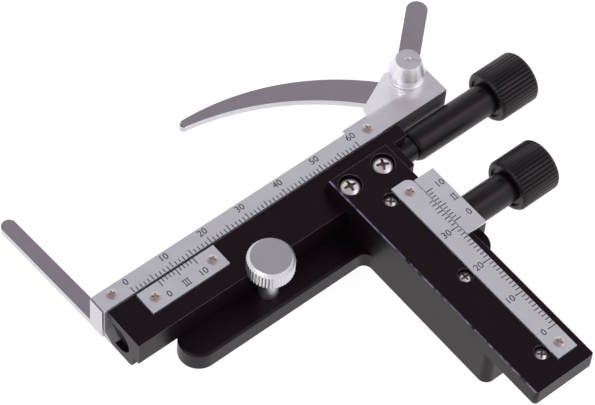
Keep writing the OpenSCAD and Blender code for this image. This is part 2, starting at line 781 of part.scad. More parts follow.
module x_scale_plate() {
    color(silver) difference() {
        box([slide_x, slide_y - 0.03, slide_top], [slide_right, slide_y - 0.03 + x_scale_w, scale_top]);
        holes(x_scale_places, slide_top - cut, scale_top + cut, plate_screw[0]);
    }
}

module x_scale_screws() {
    color(chrome) for (p = x_scale_places) translate([p[0], p[1], scale_top])
        screw(plate_screw[1], plate_head_h, plate_screw[0], x_scale_t + screw_grip);
}

// Fixed finger: a blade under the slide bar whose end turns up as a tab
module fixed_finger() {
    root = [slide_x, slide_y + tab_inset];
    tip = [
        slide_x + fixed_tip_w / 2 - 0.5 - fixed_l * sin(fixed_splay),
        slide_far + fixed_l - fixed_tip_w / 2,
    ];
    color(steel) difference() {
        union() {
            translate([0, 0, finger_top - fixed_t]) linear_extrude(fixed_t) union() {
                polygon([
                    root, root + [fixed_w - 0.4, 0], [slide_x + fixed_w - 0.6, slide_far + 4],
                    tip + [fixed_tip_w / 2, 0], tip - [fixed_tip_w / 2, 0], [slide_x - tab_t, slide_far + 0.2],
                    [slide_x, slide_far + 0.2],
                ]);
                translate(tip) circle(fixed_tip_w / 2);
            }
            box([slide_x - tab_t, root[1], finger_top - fixed_t], [slide_x, slide_far + 0.2, scale_top - 0.25]);
        }
        holes(finger_places, 0, finger_top + cut, hidden_screw[0]);
        holes(finger_places, 0, finger_top - fixed_t + 0.6, hidden_screw[1]);
    }
}

module fixed_finger_screws() {
    color(chrome) for (p = finger_places) translate([p[0], p[1], finger_top - fixed_t]) {
        cylinder(h = 0.6, r = hidden_screw[1]);
        cylinder(h = fixed_t + screw_grip, r = hidden_screw[0]);
    }
}

// Clamp block: flat by the slide, sloping away at its far left side, with an ear behind the slide bar
module clamp_outline() {
    polygon([
        [clamp_x, clamp_y], [clamp_x + clamp_l, clamp_y], [clamp_x + clamp_l, clamp_y + clamp_d],
        [clamp_x + 10.6, clamp_y + clamp_d], [clamp_x + 0.6, clamp_y + 7.3], [clamp_x, slide_far + ear_t],
    ]);
}

module clamp_block() {
    color(chrome) difference() {
        union() {
            difference() {
                translate([0, 0, clamp_bottom]) linear_extrude(scale_top - clamp_bottom) clamp_outline();
                translate([clamp_x - cut, clamp_y + x_scale_w, scale_top])
                    rotate([-clamp_slope, 0, 0]) cube([pivot_at[0] + cut, 2 * clamp_d, clamp_d]);
            }
            translate([pivot[0], pivot[1], clamp_bottom]) cylinder(h = scale_top - clamp_bottom, r = hub_r);
            box([clamp_x - ear_l, slide_far, clamp_bottom], [clamp_x + cut, slide_far + ear_t, slide_top - 0.1]);
        }
        translate([pivot[0], pivot[1], 0]) cylinder(h = scale_top + cut, r = spindle_r + run_gap);
        translate([pivot[0], pivot[1], 0]) cylinder(h = clamp_bottom + spring_room_h, r = spring_room_r);
        for (x = ear_places) y_rod(slide_far - cut, slide_far + ear_t + cut, x, ear_z, hidden_screw[0]);
    }
}

module clamp_block_screws() {
    color(chrome) for (x = ear_places) {
        y_rod(slide_far - screw_grip, slide_far + ear_t, x, ear_z, hidden_screw[0]);
        y_rod(slide_far + ear_t, slide_far + ear_t + 0.7, x, ear_z, hidden_screw[1]);
    }
}

// Clamp spring: one unbroken helical wire of hexagonal section
module clamp_spring() {
    sides = 6;
    steps = 8;
    rings = spring_turns * steps;
    wire = spring_wire / 2;
    z0 = clamp_bottom + spring_room_h - pass_gap - wire - spring_turns * spring_pitch;
    function ring(i) = [for (s = [0:sides - 1]) let (a = 360 * i / steps, b = 360 * s / sides) [
        pivot[0] + (spring_r + wire * cos(b)) * cos(a),
        pivot[1] + (spring_r + wire * cos(b)) * sin(a),
        z0 + spring_pitch * i / steps + wire * sin(b),
    ]];
    points = [for (i = [0:rings]) each ring(i)];
    walls = [for (i = [0:rings - 1], s = [0:sides - 1]) let (
        a = i * sides + s, b = i * sides + (s + 1) % sides
    ) each [[a, b, b + sides], [a, b + sides, a + sides]]];
    last = rings * sides;
    caps = [for (s = [1:sides - 2]) each [[0, s + 1, s], [last, last + s, last + s + 1]]];
    color(steel) polyhedron(points, concat(walls, caps));
}

// ---- Clamp lever and curved finger ----

module hub_solid() {
    translate([pivot[0], pivot[1], 0]) rotate_extrude() polygon([
        [0, hub_z], [hub_r - 0.3, hub_z], [hub_r, hub_z + 0.3], [hub_r, hub_z + 2.6],
        [hub_top_r, hub_top - 0.3], [hub_top_r - 0.3, hub_top], [0, hub_top],
    ]);
}

module clamp_hub() {
    color(chrome) difference() {
        hub_solid();
        translate([pivot[0], pivot[1], hub_z - cut]) cylinder(h = hub_h - 1.5 + cut, r = spindle_r);
    }
}

module clamp_spindle() {
    z0 = finger_top - curved_t;
    color(steel) translate([pivot[0], pivot[1], z0]) difference() {
        cylinder(h = hub_top - 1.5 - z0, r = spindle_r);
        translate([0, 0, -cut]) cylinder(h = screw_grip + cut, r = 0.8);
    }
}

module clamp_lever() {
    color(steel) difference() {
        translate([pivot[0], pivot[1], lever_top - lever_t]) rotate(lever_angle) linear_extrude(lever_t) union() {
            translate([0, -lever_w / 2]) square([lever_l - lever_w / 2, lever_w]);
            translate([lever_l - lever_w / 2, 0]) circle(lever_w / 2);
        }
        hub_solid();
    }
}

// Centre of the circle of radius r that curves outwards from a to b
function arc_centre(a, b, r) = let (half = norm(b - a) / 2, along = (b - a) / (2 * half))
    (a + b) / 2 + sqrt(r * r - half * half) * [along[1], -along[0]];

// Disc whose edge runs through the finger's edge at its tip and at its root
module finger_disc(off_tip, off_root, r) {
    translate(arc_centre(finger_tip + [0, off_tip], pivot + [0, off_root], r)) circle(r, $fn = 180);
}

// Curved finger: a crescent between two arcs, with a round eye on the spindle
module curved_finger() {
    color(steel) difference() {
        translate([0, 0, finger_top - curved_t]) linear_extrude(curved_t) union() {
            difference() {
                intersection() {
                    finger_disc(curved_tip[0], curved_root[0], curved_outer_r);
                    translate([finger_tip[0], pivot[1] - eye_r]) square([curved_reach[0], curved_reach[1] + 4 * eye_r]);
                }
                finger_disc(-curved_tip[1], -curved_root[1], curved_inner_r);
            }
            translate(finger_tip) circle(finger_tip_r);
            translate(pivot) circle(eye_r);
        }
        translate([pivot[0], pivot[1], 0]) cylinder(h = finger_top + cut, r = spindle_r);
    }
}

module curved_finger_screw() {
    z0 = finger_top - curved_t;
    color(chrome) translate([pivot[0], pivot[1], z0]) {
        translate([0, 0, -0.9]) cylinder(h = 0.9, r = 2.4);
        cylinder(h = screw_grip, r = 0.8);
    }
}

// ---- Knobs and their shafts ----

module x_lead_screw() {
    shoulder = left_bush_l + end_gap / 2;
    collar = housing_right - right_bush_l - end_gap / 2 - thrust_l - left_bush_x;
    end = housing_right + x_neck_l + x_sleeve_l + 4 - left_bush_x;
    color(steel) x_turned(left_bush_x, drive_y, drive_z, [
        [0, lead_pin_r], [shoulder, lead_pin_r], [shoulder, lead_r], [collar, lead_r], [collar, thrust_r],
        [collar + thrust_l, thrust_r], [collar + thrust_l, x_shaft_r], [end, x_shaft_r],
    ]);
}

// Sleeve with a thinner spigot that the knob sits on; neck lists the points before the sleeve
module sleeve(x0, length, y, bore_r, bevel, neck) {
    difference() {
        x_turned(x0, y, drive_z, concat(neck, [
            [0, sleeve_r - bevel * 0.4], [bevel, sleeve_r], [length, sleeve_r], [length, spigot_r],
            [length + spigot_l, spigot_r],
        ]));
        x_rod(x0 - x_neck_l, x0 + length + 4, y, drive_z, bore_r);
        translate([x0 + length - 2, y, drive_z]) cylinder(h = sleeve_r + cut, r = 0.75);
    }
}

function rib_points(r) = [for (i = [0:knob_ribs - 1], k = [0:3]) let (
    a = 360 * (i + [-0.43, -0.3, 0.3, 0.43][k]) / knob_ribs,
    rr = k == 0 || k == 3 ? r - rib_depth : r
) [rr * cos(a), rr * sin(a)]];

// Knob turned with bevelled rims, ribbed along its length, with a recess round the sleeve
module knob(x0, y) {
    translate([x0, y, drive_z]) rotate([0, 90, 0]) difference() {
        intersection() {
            linear_extrude(knob_l) polygon(rib_points(knob_r));
            rotate_extrude() polygon([
                [0, 0], [knob_r - knob_bevel, 0], [knob_r + 0.01, knob_bevel],
                [knob_r + 0.01, knob_l - knob_bevel], [knob_r - knob_bevel, knob_l], [0, knob_l],
            ]);
        }
        translate([0, 0, -cut]) cylinder(h = spigot_l + cut, r = spigot_r);
        translate([0, 0, -cut]) cylinder(h = 0.5 + cut, r = knob_r - 1.3);
    }
}

module grub_screw(x, y, shaft_r) {
    color(chrome) translate([x, y, drive_z + shaft_r]) cylinder(h = sleeve_r - shaft_r - 0.25, r = 0.75);
}

spigot_l = 7;                                  // spigot of a sleeve, inside its knob
spigot_r = 3.1;
x_sleeve_x = housing_right + x_neck_l;
x_knob_x = x_sleeve_x + x_sleeve_l;
y_sleeve_x = block_right + end_gap;
y_knob_x = y_sleeve_x + y_sleeve_l;

module x_sleeve() {
    neck = [[end_gap - x_neck_l, x_neck_r], [0, x_neck_r]];
    color(black) sleeve(x_sleeve_x, x_sleeve_l, drive_y, x_shaft_r, sleeve_bevel, neck);
}

module x_knob() {
    color(black) knob(x_knob_x, drive_y);
}

module x_grub_screw() {
    grub_screw(x_knob_x - 2, drive_y, x_shaft_r);
}

module y_shaft() {
    x0 = rack_mid - 5.4;
    color(steel) x_rod(x0, y_knob_x + 4, y_shaft_y, drive_z, y_shaft_r);
}

// Involute tooth flanks; a tooth points straight up at the stored reading
module y_pinion() {
    base_r = pinion_r * cos(pressure_angle);
    root_r = pinion_r - dedendum;
    tip_r = pinion_r + addendum;
    function roll(r) = sqrt(pow(r / base_r, 2) - 1) * 180 / PI;
    function involute(r) = roll(r) - atan(roll(r) * PI / 180);
    half = 90 / pinion_teeth - backlash / 2 / pinion_r * 180 / PI / 2;
    function flank_angle(r) = half + involute(pinion_r) - involute(r);
    radii = [base_r, base_r + (tip_r - base_r) / 3, base_r + (tip_r - base_r) * 2 / 3, tip_r];
    side = concat([[root_r, flank_angle(base_r)]], [for (r = radii) [r, flank_angle(r)]]);
    tooth = concat([for (p = side) [p[0], -p[1]]], [for (i = [len(side) - 1:-1:0]) side[i]]);
    points = [for (t = [0:pinion_teeth - 1]) each [for (p = tooth)
        [p[0] * cos(p[1] + t * 360 / pinion_teeth), p[0] * sin(p[1] + t * 360 / pinion_teeth)]]];
    color(brass) difference() {
        translate([rack_mid - pinion_w / 2, y_shaft_y, drive_z]) rotate([90, 0, 90]) rotate(90)
            linear_extrude(pinion_w) polygon(points);
        x_rod(rack_mid - cut - pinion_w, rack_mid + cut + pinion_w, y_shaft_y, drive_z, y_shaft_r);
    }
}

module y_sleeve() {
    color(black) sleeve(y_sleeve_x, y_sleeve_l, y_shaft_y, y_shaft_r, 0.3, []);
}

module y_knob() {
    color(black) knob(y_knob_x, y_shaft_y);
}

module y_grub_screw() {
    grub_screw(y_knob_x - 2, y_shaft_y, y_shaft_r);
}

base_bracket();
y_vernier_plate();
y_shaft_bush();
clamp_screw_head();
clamp_screw_stud();
y_bar();
y_bar_screws();
housing_screws();
y_scale_plate();
y_scale_screws();
y_dovetail();
y_rack();
x_housing();
x_vernier_plate();
x_vernier_screws();
lead_screw_left_bush();
lead_screw_right_bush();
x_slide_bar();
x_guide_rail();
x_half_nut();
half_nut_screws();
x_scale_plate();
x_scale_screws();
fixed_finger();
fixed_finger_screws();
clamp_block();
clamp_block_screws();
clamp_spring();
clamp_hub();
clamp_spindle();
clamp_lever();
curved_finger();
curved_finger_screw();
x_lead_screw();
x_sleeve();
x_knob();
x_grub_screw();
y_shaft();
y_pinion();
y_sleeve();
y_knob();
y_grub_screw();
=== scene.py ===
# A mechanical stage for a microscope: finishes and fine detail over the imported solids, in metres.
import math

import bmesh
import bpy
from mathutils import Matrix, Vector


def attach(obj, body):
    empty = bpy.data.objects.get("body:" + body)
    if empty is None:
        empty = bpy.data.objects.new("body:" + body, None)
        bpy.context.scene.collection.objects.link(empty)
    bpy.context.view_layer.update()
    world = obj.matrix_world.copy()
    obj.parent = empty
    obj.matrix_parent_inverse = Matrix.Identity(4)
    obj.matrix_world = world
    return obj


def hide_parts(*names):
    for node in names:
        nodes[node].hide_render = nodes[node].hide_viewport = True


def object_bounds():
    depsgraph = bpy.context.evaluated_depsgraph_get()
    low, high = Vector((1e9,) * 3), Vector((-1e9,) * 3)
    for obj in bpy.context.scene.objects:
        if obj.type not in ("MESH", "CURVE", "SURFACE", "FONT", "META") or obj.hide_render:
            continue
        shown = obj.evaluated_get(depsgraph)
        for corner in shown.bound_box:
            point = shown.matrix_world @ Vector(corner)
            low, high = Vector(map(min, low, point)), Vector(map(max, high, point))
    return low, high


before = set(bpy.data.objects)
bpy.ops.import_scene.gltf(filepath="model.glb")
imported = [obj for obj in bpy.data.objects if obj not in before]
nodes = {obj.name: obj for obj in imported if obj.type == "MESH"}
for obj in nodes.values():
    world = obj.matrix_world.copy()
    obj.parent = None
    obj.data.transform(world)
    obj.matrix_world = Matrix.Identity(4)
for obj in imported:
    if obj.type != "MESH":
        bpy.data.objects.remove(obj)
cad_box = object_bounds()

# ---- View ----
# A long lens looks at the stage from the front left, high above it, and is turned a little about
# its own axis. Its place was fitted to the stage's printed millimetre ticks.
MM = 0.001
AZIMUTH, ELEVATION, ROLL = (math.radians(a) for a in (-43.586, 55.604, 5.047))
LOOKED_AT = Vector((5, 13.5, 12.6)) * MM                 # a point on the X scale
SEEN_AT = Vector((-10.3577, -2.8344, -635.1548)) * MM    # it, right, up and back from the lens
SENSOR_WIDTH, FOCAL_LENGTH = 36, 184.982
NEAREST, FARTHEST = 0.05, 20


def way_to(azimuth, elevation):
    """The way out to something that stands at these angles, measured from the stage's front."""
    return Vector((
        math.sin(azimuth) * math.cos(elevation),
        -math.cos(azimuth) * math.cos(elevation),
        math.sin(elevation),
    ))


back = way_to(AZIMUTH, ELEVATION)
level = Vector((math.cos(AZIMUTH), math.sin(AZIMUTH), 0))
rise = back.cross(level)
right = level * math.cos(ROLL) + rise * math.sin(ROLL)
up = rise * math.cos(ROLL) - level * math.sin(ROLL)
lens = LOOKED_AT - right * SEEN_AT.x - up * SEEN_AT.y - back * SEEN_AT.z
camera = bpy.data.objects.new("photo_camera", bpy.data.cameras.new("photo_camera"))
camera.data.sensor_width = SENSOR_WIDTH
camera.data.lens = FOCAL_LENGTH
camera.data.clip_start, camera.data.clip_end = NEAREST, FARTHEST
camera.matrix_world = Matrix((
    (right.x, up.x, back.x, lens.x),
    (right.y, up.y, back.y, lens.y),
    (right.z, up.z, back.z, lens.z),
    (0, 0, 0, 1),
))
bpy.context.scene.collection.objects.link(camera)
bpy.context.scene.camera = camera
bpy.context.scene.view_settings.view_transform = "Standard"

# ---- Studio ----
# A white table that keeps the stage's soft shadow, a room that is white near the horizon and dark
# mauve overhead, and two large soft lamps. The dark part is what the polished tops reflect.
FLOOR_SIZE, FLOOR_GAP = 3.0, 0.02 * MM
FLOOR_SHADE, FLOOR_GLOW = 0.3, 0.93
ROOM_HORIZON, ROOM_TOP = (1, 1, 1), (0.32, 0.285, 0.315)
HORIZON_UP_TO, TOP_FROM = 0.56, 0.77    # heights on the unit sphere
ROOM_FILL = 0.6                         # how strongly the room lights the stage
LAMP_DISTANCE = 0.8


def show_background(tree):
    """1 where a ray comes from the camera, a gloss or a glass, and 0 where it only lights."""
    path = tree.nodes.new("ShaderNodeLightPath")
    shown = path.outputs["Is Camera Ray"]
    for ray in ("Is Glossy Ray", "Is Transmission Ray"):
        either = tree.nodes.new("ShaderNodeMath")
        either.operation = "MAXIMUM"
        tree.links.new(shown, either.inputs[0])
        tree.links.new(path.outputs[ray], either.inputs[1])
        shown = either.outputs[0]
    return shown


floor_z = cad_box[0].z - FLOOR_GAP
floor_mesh = bpy.data.meshes.new("table_top")
floor_mesh.from_pydata([
    (x * FLOOR_SIZE, y * FLOOR_SIZE, floor_z) for x, y in ((-1, -1), (1, -1), (1, 1), (-1, 1))
], [], [(0, 1, 2, 3)])
floor = bpy.data.objects.new("table_top", floor_mesh)
bpy.context.scene.collection.objects.link(floor)
floor_look = bpy.data.materials.new("white_table")
floor_look.use_nodes = True
tree = floor_look.node_tree
tree.nodes.clear()
shade = tree.nodes.new("ShaderNodeBsdfDiffuse")
shade.inputs["Color"].default_value = (FLOOR_SHADE, FLOOR_SHADE, FLOOR_SHADE, 1)
glow = tree.nodes.new("ShaderNodeEmission")
glow_level = tree.nodes.new("ShaderNodeMath")
glow_level.operation = "MULTIPLY"
glow_level.inputs[1].default_value = FLOOR_GLOW
both = tree.nodes.new("ShaderNodeAddShader")
out = tree.nodes.new("ShaderNodeOutputMaterial")
tree.links.new(show_background(tree), glow_level.inputs[0])
tree.links.new(glow_level.outputs[0], glow.inputs["Strength"])
tree.links.new(shade.outputs[0], both.inputs[0])
tree.links.new(glow.outputs[0], both.inputs[1])
tree.links.new(both.outputs[0], out.inputs["Surface"])
floor_mesh.materials.append(floor_look)

world = bpy.data.worlds.new("studio_room")
bpy.context.scene.world = world
world.use_nodes = True
tree = world.node_tree
tree.nodes.clear()
direction = tree.nodes.new("ShaderNodeTexCoord")
height = tree.nodes.new("ShaderNodeSeparateXYZ")
room = tree.nodes.new("ShaderNodeValToRGB")
for stop, position, colour in zip(
    room.color_ramp.elements, (HORIZON_UP_TO, TOP_FROM), (ROOM_HORIZON, ROOM_TOP)
):
    stop.position = position
    stop.color = (*colour, 1)
room_level = tree.nodes.new("ShaderNodeMapRange")
room_level.inputs["To Min"].default_value = ROOM_FILL
room_level.inputs["To Max"].default_value = 1
background = tree.nodes.new("ShaderNodeBackground")
out = tree.nodes.new("ShaderNodeOutputWorld")
tree.links.new(direction.outputs["Generated"], height.inputs[0])
tree.links.new(height.outputs["Z"], room.inputs["Fac"])
tree.links.new(room.outputs["Color"], background.inputs["Color"])
tree.links.new(show_background(tree), room_level.inputs["Value"])
tree.links.new(room_level.outputs[0], background.inputs["Strength"])
tree.links.new(background.outputs[0], out.inputs["Surface"])


def soft_lamp(name, azimuth, elevation, size, watts):
    """A square lamp that looks at the middle of the stage."""
    data = bpy.data.lights.new(name, "AREA")
    data.shape = "SQUARE"
    data.size = size
    data.energy = watts
    away = way_to(math.radians(azimuth), math.radians(elevation))
    middle = (cad_box[0] + cad_box[1]) / 2
    lamp = bpy.data.objects.new(name, data)
    turn = away.to_track_quat("Z", "Y").to_matrix().to_4x4()
    lamp.matrix_world = Matrix.Translation(middle + away * LAMP_DISTANCE) @ turn
    bpy.context.scene.collection.objects.link(lamp)


soft_lamp("left_lamp", azimuth=-85, elevation=35, size=0.3, watts=0.9)
soft_lamp("right_lamp", azimuth=40, elevation=52, size=0.35, watts=0.7)

# ---- Base bracket ----
# One casting that stays on the microscope: clamp arm, base rail and side block. Satin black enamel
# over fine-cast metal, with edges softened by the paint and a brass bush pressed in for the Y shaft.
BLACK = (0.0108, 0.0052, 0.0082)
MAUVE = (1, 0.84, 0.93)         # the enamel's gloss
PAINT_EDGE = 0.22
CREASE = math.radians(32)       # edges sharper than this stay crisp
SAME_FACE = math.radians(0.4)   # facets flatter than this are one face
SAME_POINT = 0.0005             # corners closer than this are one, in millimetres


def add_socket(tree, way, name, kind, value=None):
    """A named input or output of a node tree."""
    socket = tree.interface.new_socket(name, in_out=way, socket_type=kind)
    if value is not None:
        socket.default_value = value


def feed(tree, socket, value):
    """Gives a socket a number, or a link from another socket."""
    if isinstance(value, (int, float)):
        socket.default_value = value
    else:
        tree.links.new(value, socket)


def calc(tree, operation, *values):
    """A Math node whose inputs are sockets or numbers."""
    made = tree.nodes.new("ShaderNodeMath")
    made.operation = operation
    for socket, value in zip(made.inputs, values):
        feed(tree, socket, value)
    return made.outputs[0]


def make_surface_grain():
    """Fine grain with slow clouds, which vary a finish's roughness, height and shade."""
    tree = bpy.data.node_groups.new("surface_grain", "ShaderNodeTree")
    add_socket(tree, "INPUT", "Vector", "NodeSocketVector")
    for name, value in (
        ("Grain Scale", 3000), ("Cloud Scale", 150), ("Roughness", 0.4), ("Roughness Spread", 0.1),
    ):
        add_socket(tree, "INPUT", name, "NodeSocketFloat", value)
    add_socket(tree, "INPUT", "Colour", "NodeSocketColor", (0.5, 0.5, 0.5, 1))
    add_socket(tree, "INPUT", "Shade Spread", "NodeSocketFloat", 0.1)
    add_socket(tree, "OUTPUT", "Roughness", "NodeSocketFloat")
    add_socket(tree, "OUTPUT", "Height", "NodeSocketFloat")
    add_socket(tree, "OUTPUT", "Colour", "NodeSocketColor")
    given = tree.nodes.new("NodeGroupInput")
    result = tree.nodes.new("NodeGroupOutput")
    noises = []
    for scale, detail in (("Grain Scale", 3), ("Cloud Scale", 4)):
        noise = tree.nodes.new("ShaderNodeTexNoise")
        noise.inputs["Detail"].default_value = detail
        tree.links.new(given.outputs["Vector"], noise.inputs["Vector"])
        tree.links.new(given.outputs[scale], noise.inputs["Scale"])
        noises.append(noise.outputs["Fac"])
    mixed = calc(tree, "ADD", *(calc(tree, "MULTIPLY", noise, 0.5) for noise in noises))
    swing = calc(tree, "SUBTRACT", mixed, 0.5)
    spread, middle = given.outputs["Roughness Spread"], given.outputs["Roughness"]
    rough = calc(tree, "MULTIPLY_ADD", swing, spread, middle)
    shade = calc(tree, "MULTIPLY_ADD", swing, given.outputs["Shade Spread"], 1.0)
    tint = tree.nodes.new("ShaderNodeVectorMath")
    tint.operation = "SCALE"
    tree.links.new(given.outputs["Colour"], tint.inputs[0])
    tree.links.new(shade, tint.inputs["Scale"])
    tree.links.new(rough, result.inputs["Roughness"])
    tree.links.new(noises[0], result.inputs["Height"])
    tree.links.new(tint.outputs[0], result.inputs["Colour"])
    return tree


surface_grain = make_surface_grain()


def make_finish(name, colour, metallic, rough, spread, shade, grain, cloud, bump,
                stretch=(1, 1, 1), specular=0.5, tint=(1, 1, 1)):
    """A material whose roughness, shade and bump, in millimetres, follow the surface grain.

    Stretch draws the grain out along one way, as brushing does."""
    material = bpy.data.materials.new(name)
    material.use_nodes = True
    tree = material.node_tree
    shader = tree.nodes["Principled BSDF"]
    shader.inputs["Metallic"].default_value = metallic
    shader.inputs["Specular IOR Level"].default_value = specular
    shader.inputs["Specular Tint"].default_value = (*tint, 1)
    place = tree.nodes.new("ShaderNodeTexCoord")
    mapping = tree.nodes.new("ShaderNodeMapping")
    mapping.inputs["Scale"].default_value = stretch
    group = tree.nodes.new("ShaderNodeGroup")
    group.node_tree = surface_grain
    for key, value in (
        ("Grain Scale", grain), ("Cloud Scale", cloud), ("Roughness", rough),
        ("Roughness Spread", spread), ("Colour", (*colour, 1)), ("Shade Spread", shade),
    ):
        group.inputs[key].default_value = value
    relief = tree.nodes.new("ShaderNodeBump")
    relief.inputs["Strength"].default_value = 1
    relief.inputs["Distance"].default_value = bump * MM
    tree.links.new(place.outputs["Object"], mapping.inputs["Vector"])
    tree.links.new(mapping.outputs[0], group.inputs["Vector"])
    tree.links.new(group.outputs["Roughness"], shader.inputs["Roughness"])
    tree.links.new(group.outputs["Colour"], shader.inputs["Base Color"])
    tree.links.new(group.outputs["Height"], relief.inputs["Height"])
    tree.links.new(relief.outputs[0], shader.inputs["Normal"])
    return material


def make_enamel(name):
    """The black enamel of the base, the bar and the housing."""
    return make_finish(name, BLACK, metallic=0, rough=0.34, spread=0.18, shade=0.5, grain=2600,
                       cloud=120, bump=0.012, specular=0.2, tint=MAUVE)


def make_smooth_tree():
    """Smooths faces that meet at a shallow angle and keeps the rest crisp."""
    tree = bpy.data.node_groups.new("smooth_by_angle", "GeometryNodeTree")
    add_socket(tree, "INPUT", "Geometry", "NodeSocketGeometry")
    add_socket(tree, "INPUT", "Angle", "NodeSocketFloat", CREASE)
    add_socket(tree, "OUTPUT", "Geometry", "NodeSocketGeometry")
    given = tree.nodes.new("NodeGroupInput")
    result = tree.nodes.new("NodeGroupOutput")
    faces = tree.nodes.new("GeometryNodeSetShadeSmooth")
    edges = tree.nodes.new("GeometryNodeSetShadeSmooth")
    edges.domain = "EDGE"
    edges.inputs["Shade Smooth"].default_value = False
    angle = tree.nodes.new("GeometryNodeInputMeshEdgeAngle")
    sharp = tree.nodes.new("FunctionNodeCompare")
    tree.links.new(angle.outputs["Unsigned Angle"], sharp.inputs[0])
    tree.links.new(given.outputs["Angle"], sharp.inputs[1])
    tree.links.new(given.outputs["Geometry"], faces.inputs["Geometry"])
    tree.links.new(faces.outputs[0], edges.inputs["Geometry"])
    tree.links.new(sharp.outputs[0], edges.inputs["Selection"])
    tree.links.new(edges.outputs[0], result.inputs["Geometry"])
    return tree


smooth_tree = make_smooth_tree()


def dress(name, material, edge=0.0, edge_look=None):
    """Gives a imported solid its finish, and rounds its sharp edges by so many millimetres.

    The rounded edges may have a finish of their own."""
    piece = nodes[name]
    piece.data.materials.clear()
    piece.data.materials.append(material)
    piece.data.materials.append(edge_look or material)
    weld = piece.modifiers.new("weld", "WELD")
    weld.merge_threshold = SAME_POINT * MM
    if edge:
        plain = piece.modifiers.new("whole_faces", "DECIMATE")
        plain.decimate_type = "DISSOLVE"
        plain.angle_limit = SAME_FACE
        bevel = piece.modifiers.new("soft_edges", "BEVEL")
        bevel.material = 1
        bevel.width = edge * MM
        bevel.segments = 3
        bevel.limit_method = "ANGLE"
        bevel.angle_limit = CREASE
    smooth = piece.modifiers.new("smooth", "NODES")
    smooth.node_group = smooth_tree
    if edge:
        flat = piece.modifiers.new("flat_faces", "WEIGHTED_NORMAL")
        flat.keep_sharp = True


enamel = make_enamel("black_enamel")
brass = make_finish(
    "machined_brass", (0.70, 0.52, 0.25), metallic=1, rough=0.3, spread=0.15, shade=0.2,
    grain=3200, cloud=250, bump=0.004,
)
dress("base_bracket", enamel, PAINT_EDGE)
dress("y_shaft_bush", brass)

# ---- Y carriage ----
# The long bar that slides along the base rail, in the same enamel, on a steel dovetail with a brass
# rack beside it. A painted highlight runs in a broken line along the bar's near long edge, and the
# bar's bevelled edges are painted lighter as highlights.
steel = make_finish(
    "machined_steel", (0.45, 0.44, 0.46), metallic=1, rough=0.32, spread=0.15, shade=0.25,
    grain=3000, cloud=300, bump=0.004, stretch=(1, 12, 12),
)
# The bar's bevelled edges: a lighter metallic colour, a painted highlight.
bar_edge_highlight = make_finish(
    "bar_painted_highlight_edge", (0.36, 0.34, 0.37), metallic=0.8, rough=0.35, spread=0.2, shade=0.6,
    grain=2600, cloud=400, bump=0.01,
)
bar_enamel = make_enamel("bar_enamel")
BREAKS_FROM, BREAKS_TO = 0.3, 0.6    # noise levels between which the painted highlight breaks up


def wear_along(material, facing, highlight_colour, full_within, faded_by, break_scale):
    """Paints a highlight colour where the surface faces one way, broken up by noise.

    The highlight is full within one angle of that way and faded by the other, in degrees."""
    tree = material.node_tree
    shader = tree.nodes["Principled BSDF"]
    place = tree.nodes.new("ShaderNodeTexCoord")
    turned_to = tree.nodes.new("ShaderNodeVectorMath")
    turned_to.operation = "DOT_PRODUCT"
    turned_to.inputs[1].default_value = Vector(facing).normalized()
    tree.links.new(place.outputs["Normal"], turned_to.inputs[0])
    breaks = tree.nodes.new("ShaderNodeTexNoise")
    breaks.inputs["Scale"].default_value = break_scale
    breaks.inputs["Detail"].default_value = 3
    tree.links.new(place.outputs["Object"], breaks.inputs["Vector"])
    shares = []
    faded_cos, full_cos = (math.cos(math.radians(angle)) for angle in (faded_by, full_within))
    for value, low, high in (
        (turned_to.outputs["Value"], faded_cos, full_cos), (breaks.outputs["Fac"], BREAKS_FROM, BREAKS_TO),
    ):
        share = tree.nodes.new("ShaderNodeMapRange")
        share.inputs["From Min"].default_value = low
        share.inputs["From Max"].default_value = high
        tree.links.new(value, share.inputs["Value"])
        shares.append(share.outputs[0])
    mask = calc(tree, "MULTIPLY", *shares)
    colour = tree.nodes.new("ShaderNodeMix")
    colour.data_type = "RGBA"
    tree.links.new(mask, colour.inputs["Factor"])
    tree.links.new(shader.inputs["Base Color"].links[0].from_socket, colour.inputs["A"])
    colour.inputs["B"].default_value = (*highlight_colour, 1)
    tree.links.new(colour.outputs["Result"], shader.inputs["Base Color"])
    tree.links.new(mask, shader.inputs["Metallic"])


# Painted highlight: a lighter metallic colour along the bar's top edge facing -X, broken up by noise.
wear_along(bar_enamel, facing=(-1, 0, 1), highlight_colour=(0.2, 0.2, 0.28),
           full_within=14, faded_by=38, break_scale=700)
dress("y_bar", bar_enamel, PAINT_EDGE, bar_edge_highlight)
dress("y_dovetail", steel, 0.1)
dress("y_rack", brass)

# ---- X housing ----
# The channel fixed across the far end of the bar, in enamel whose bevelled edges are painted a
# lighter metallic grey as a painted highlight, with a steel bush at its left end painted near black
# as the shade inside the channel, and a brass one at its right for the lead screw.
# The housing's bevelled edges: a lighter metallic colour, a painted highlight.
enamel_edge_highlight = make_finish(
    "enamel_painted_highlight_edge", (0.14, 0.13, 0.14), metallic=0.7, rough=0.32, spread=0.2, shade=0.8,
    grain=2600, cloud=400, bump=0.01,
)
# Near-black steel: the grub screws' blued finish, and painted shade on the left bush and the pin of
# the lead screw, which sit in shadow inside the channel.
blued_and_shade = make_finish(
    "blued_steel_and_painted_shade", (0.02, 0.018, 0.018), metallic=0.5, rough=0.45, spread=0.2, shade=0.6,
    grain=3200, cloud=250, bump=0.004,
)
dress("x_housing", enamel, 0.16, enamel_edge_highlight)
dress("lead_screw_left_bush", blued_and_shade)
dress("lead_screw_right_bush", brass)

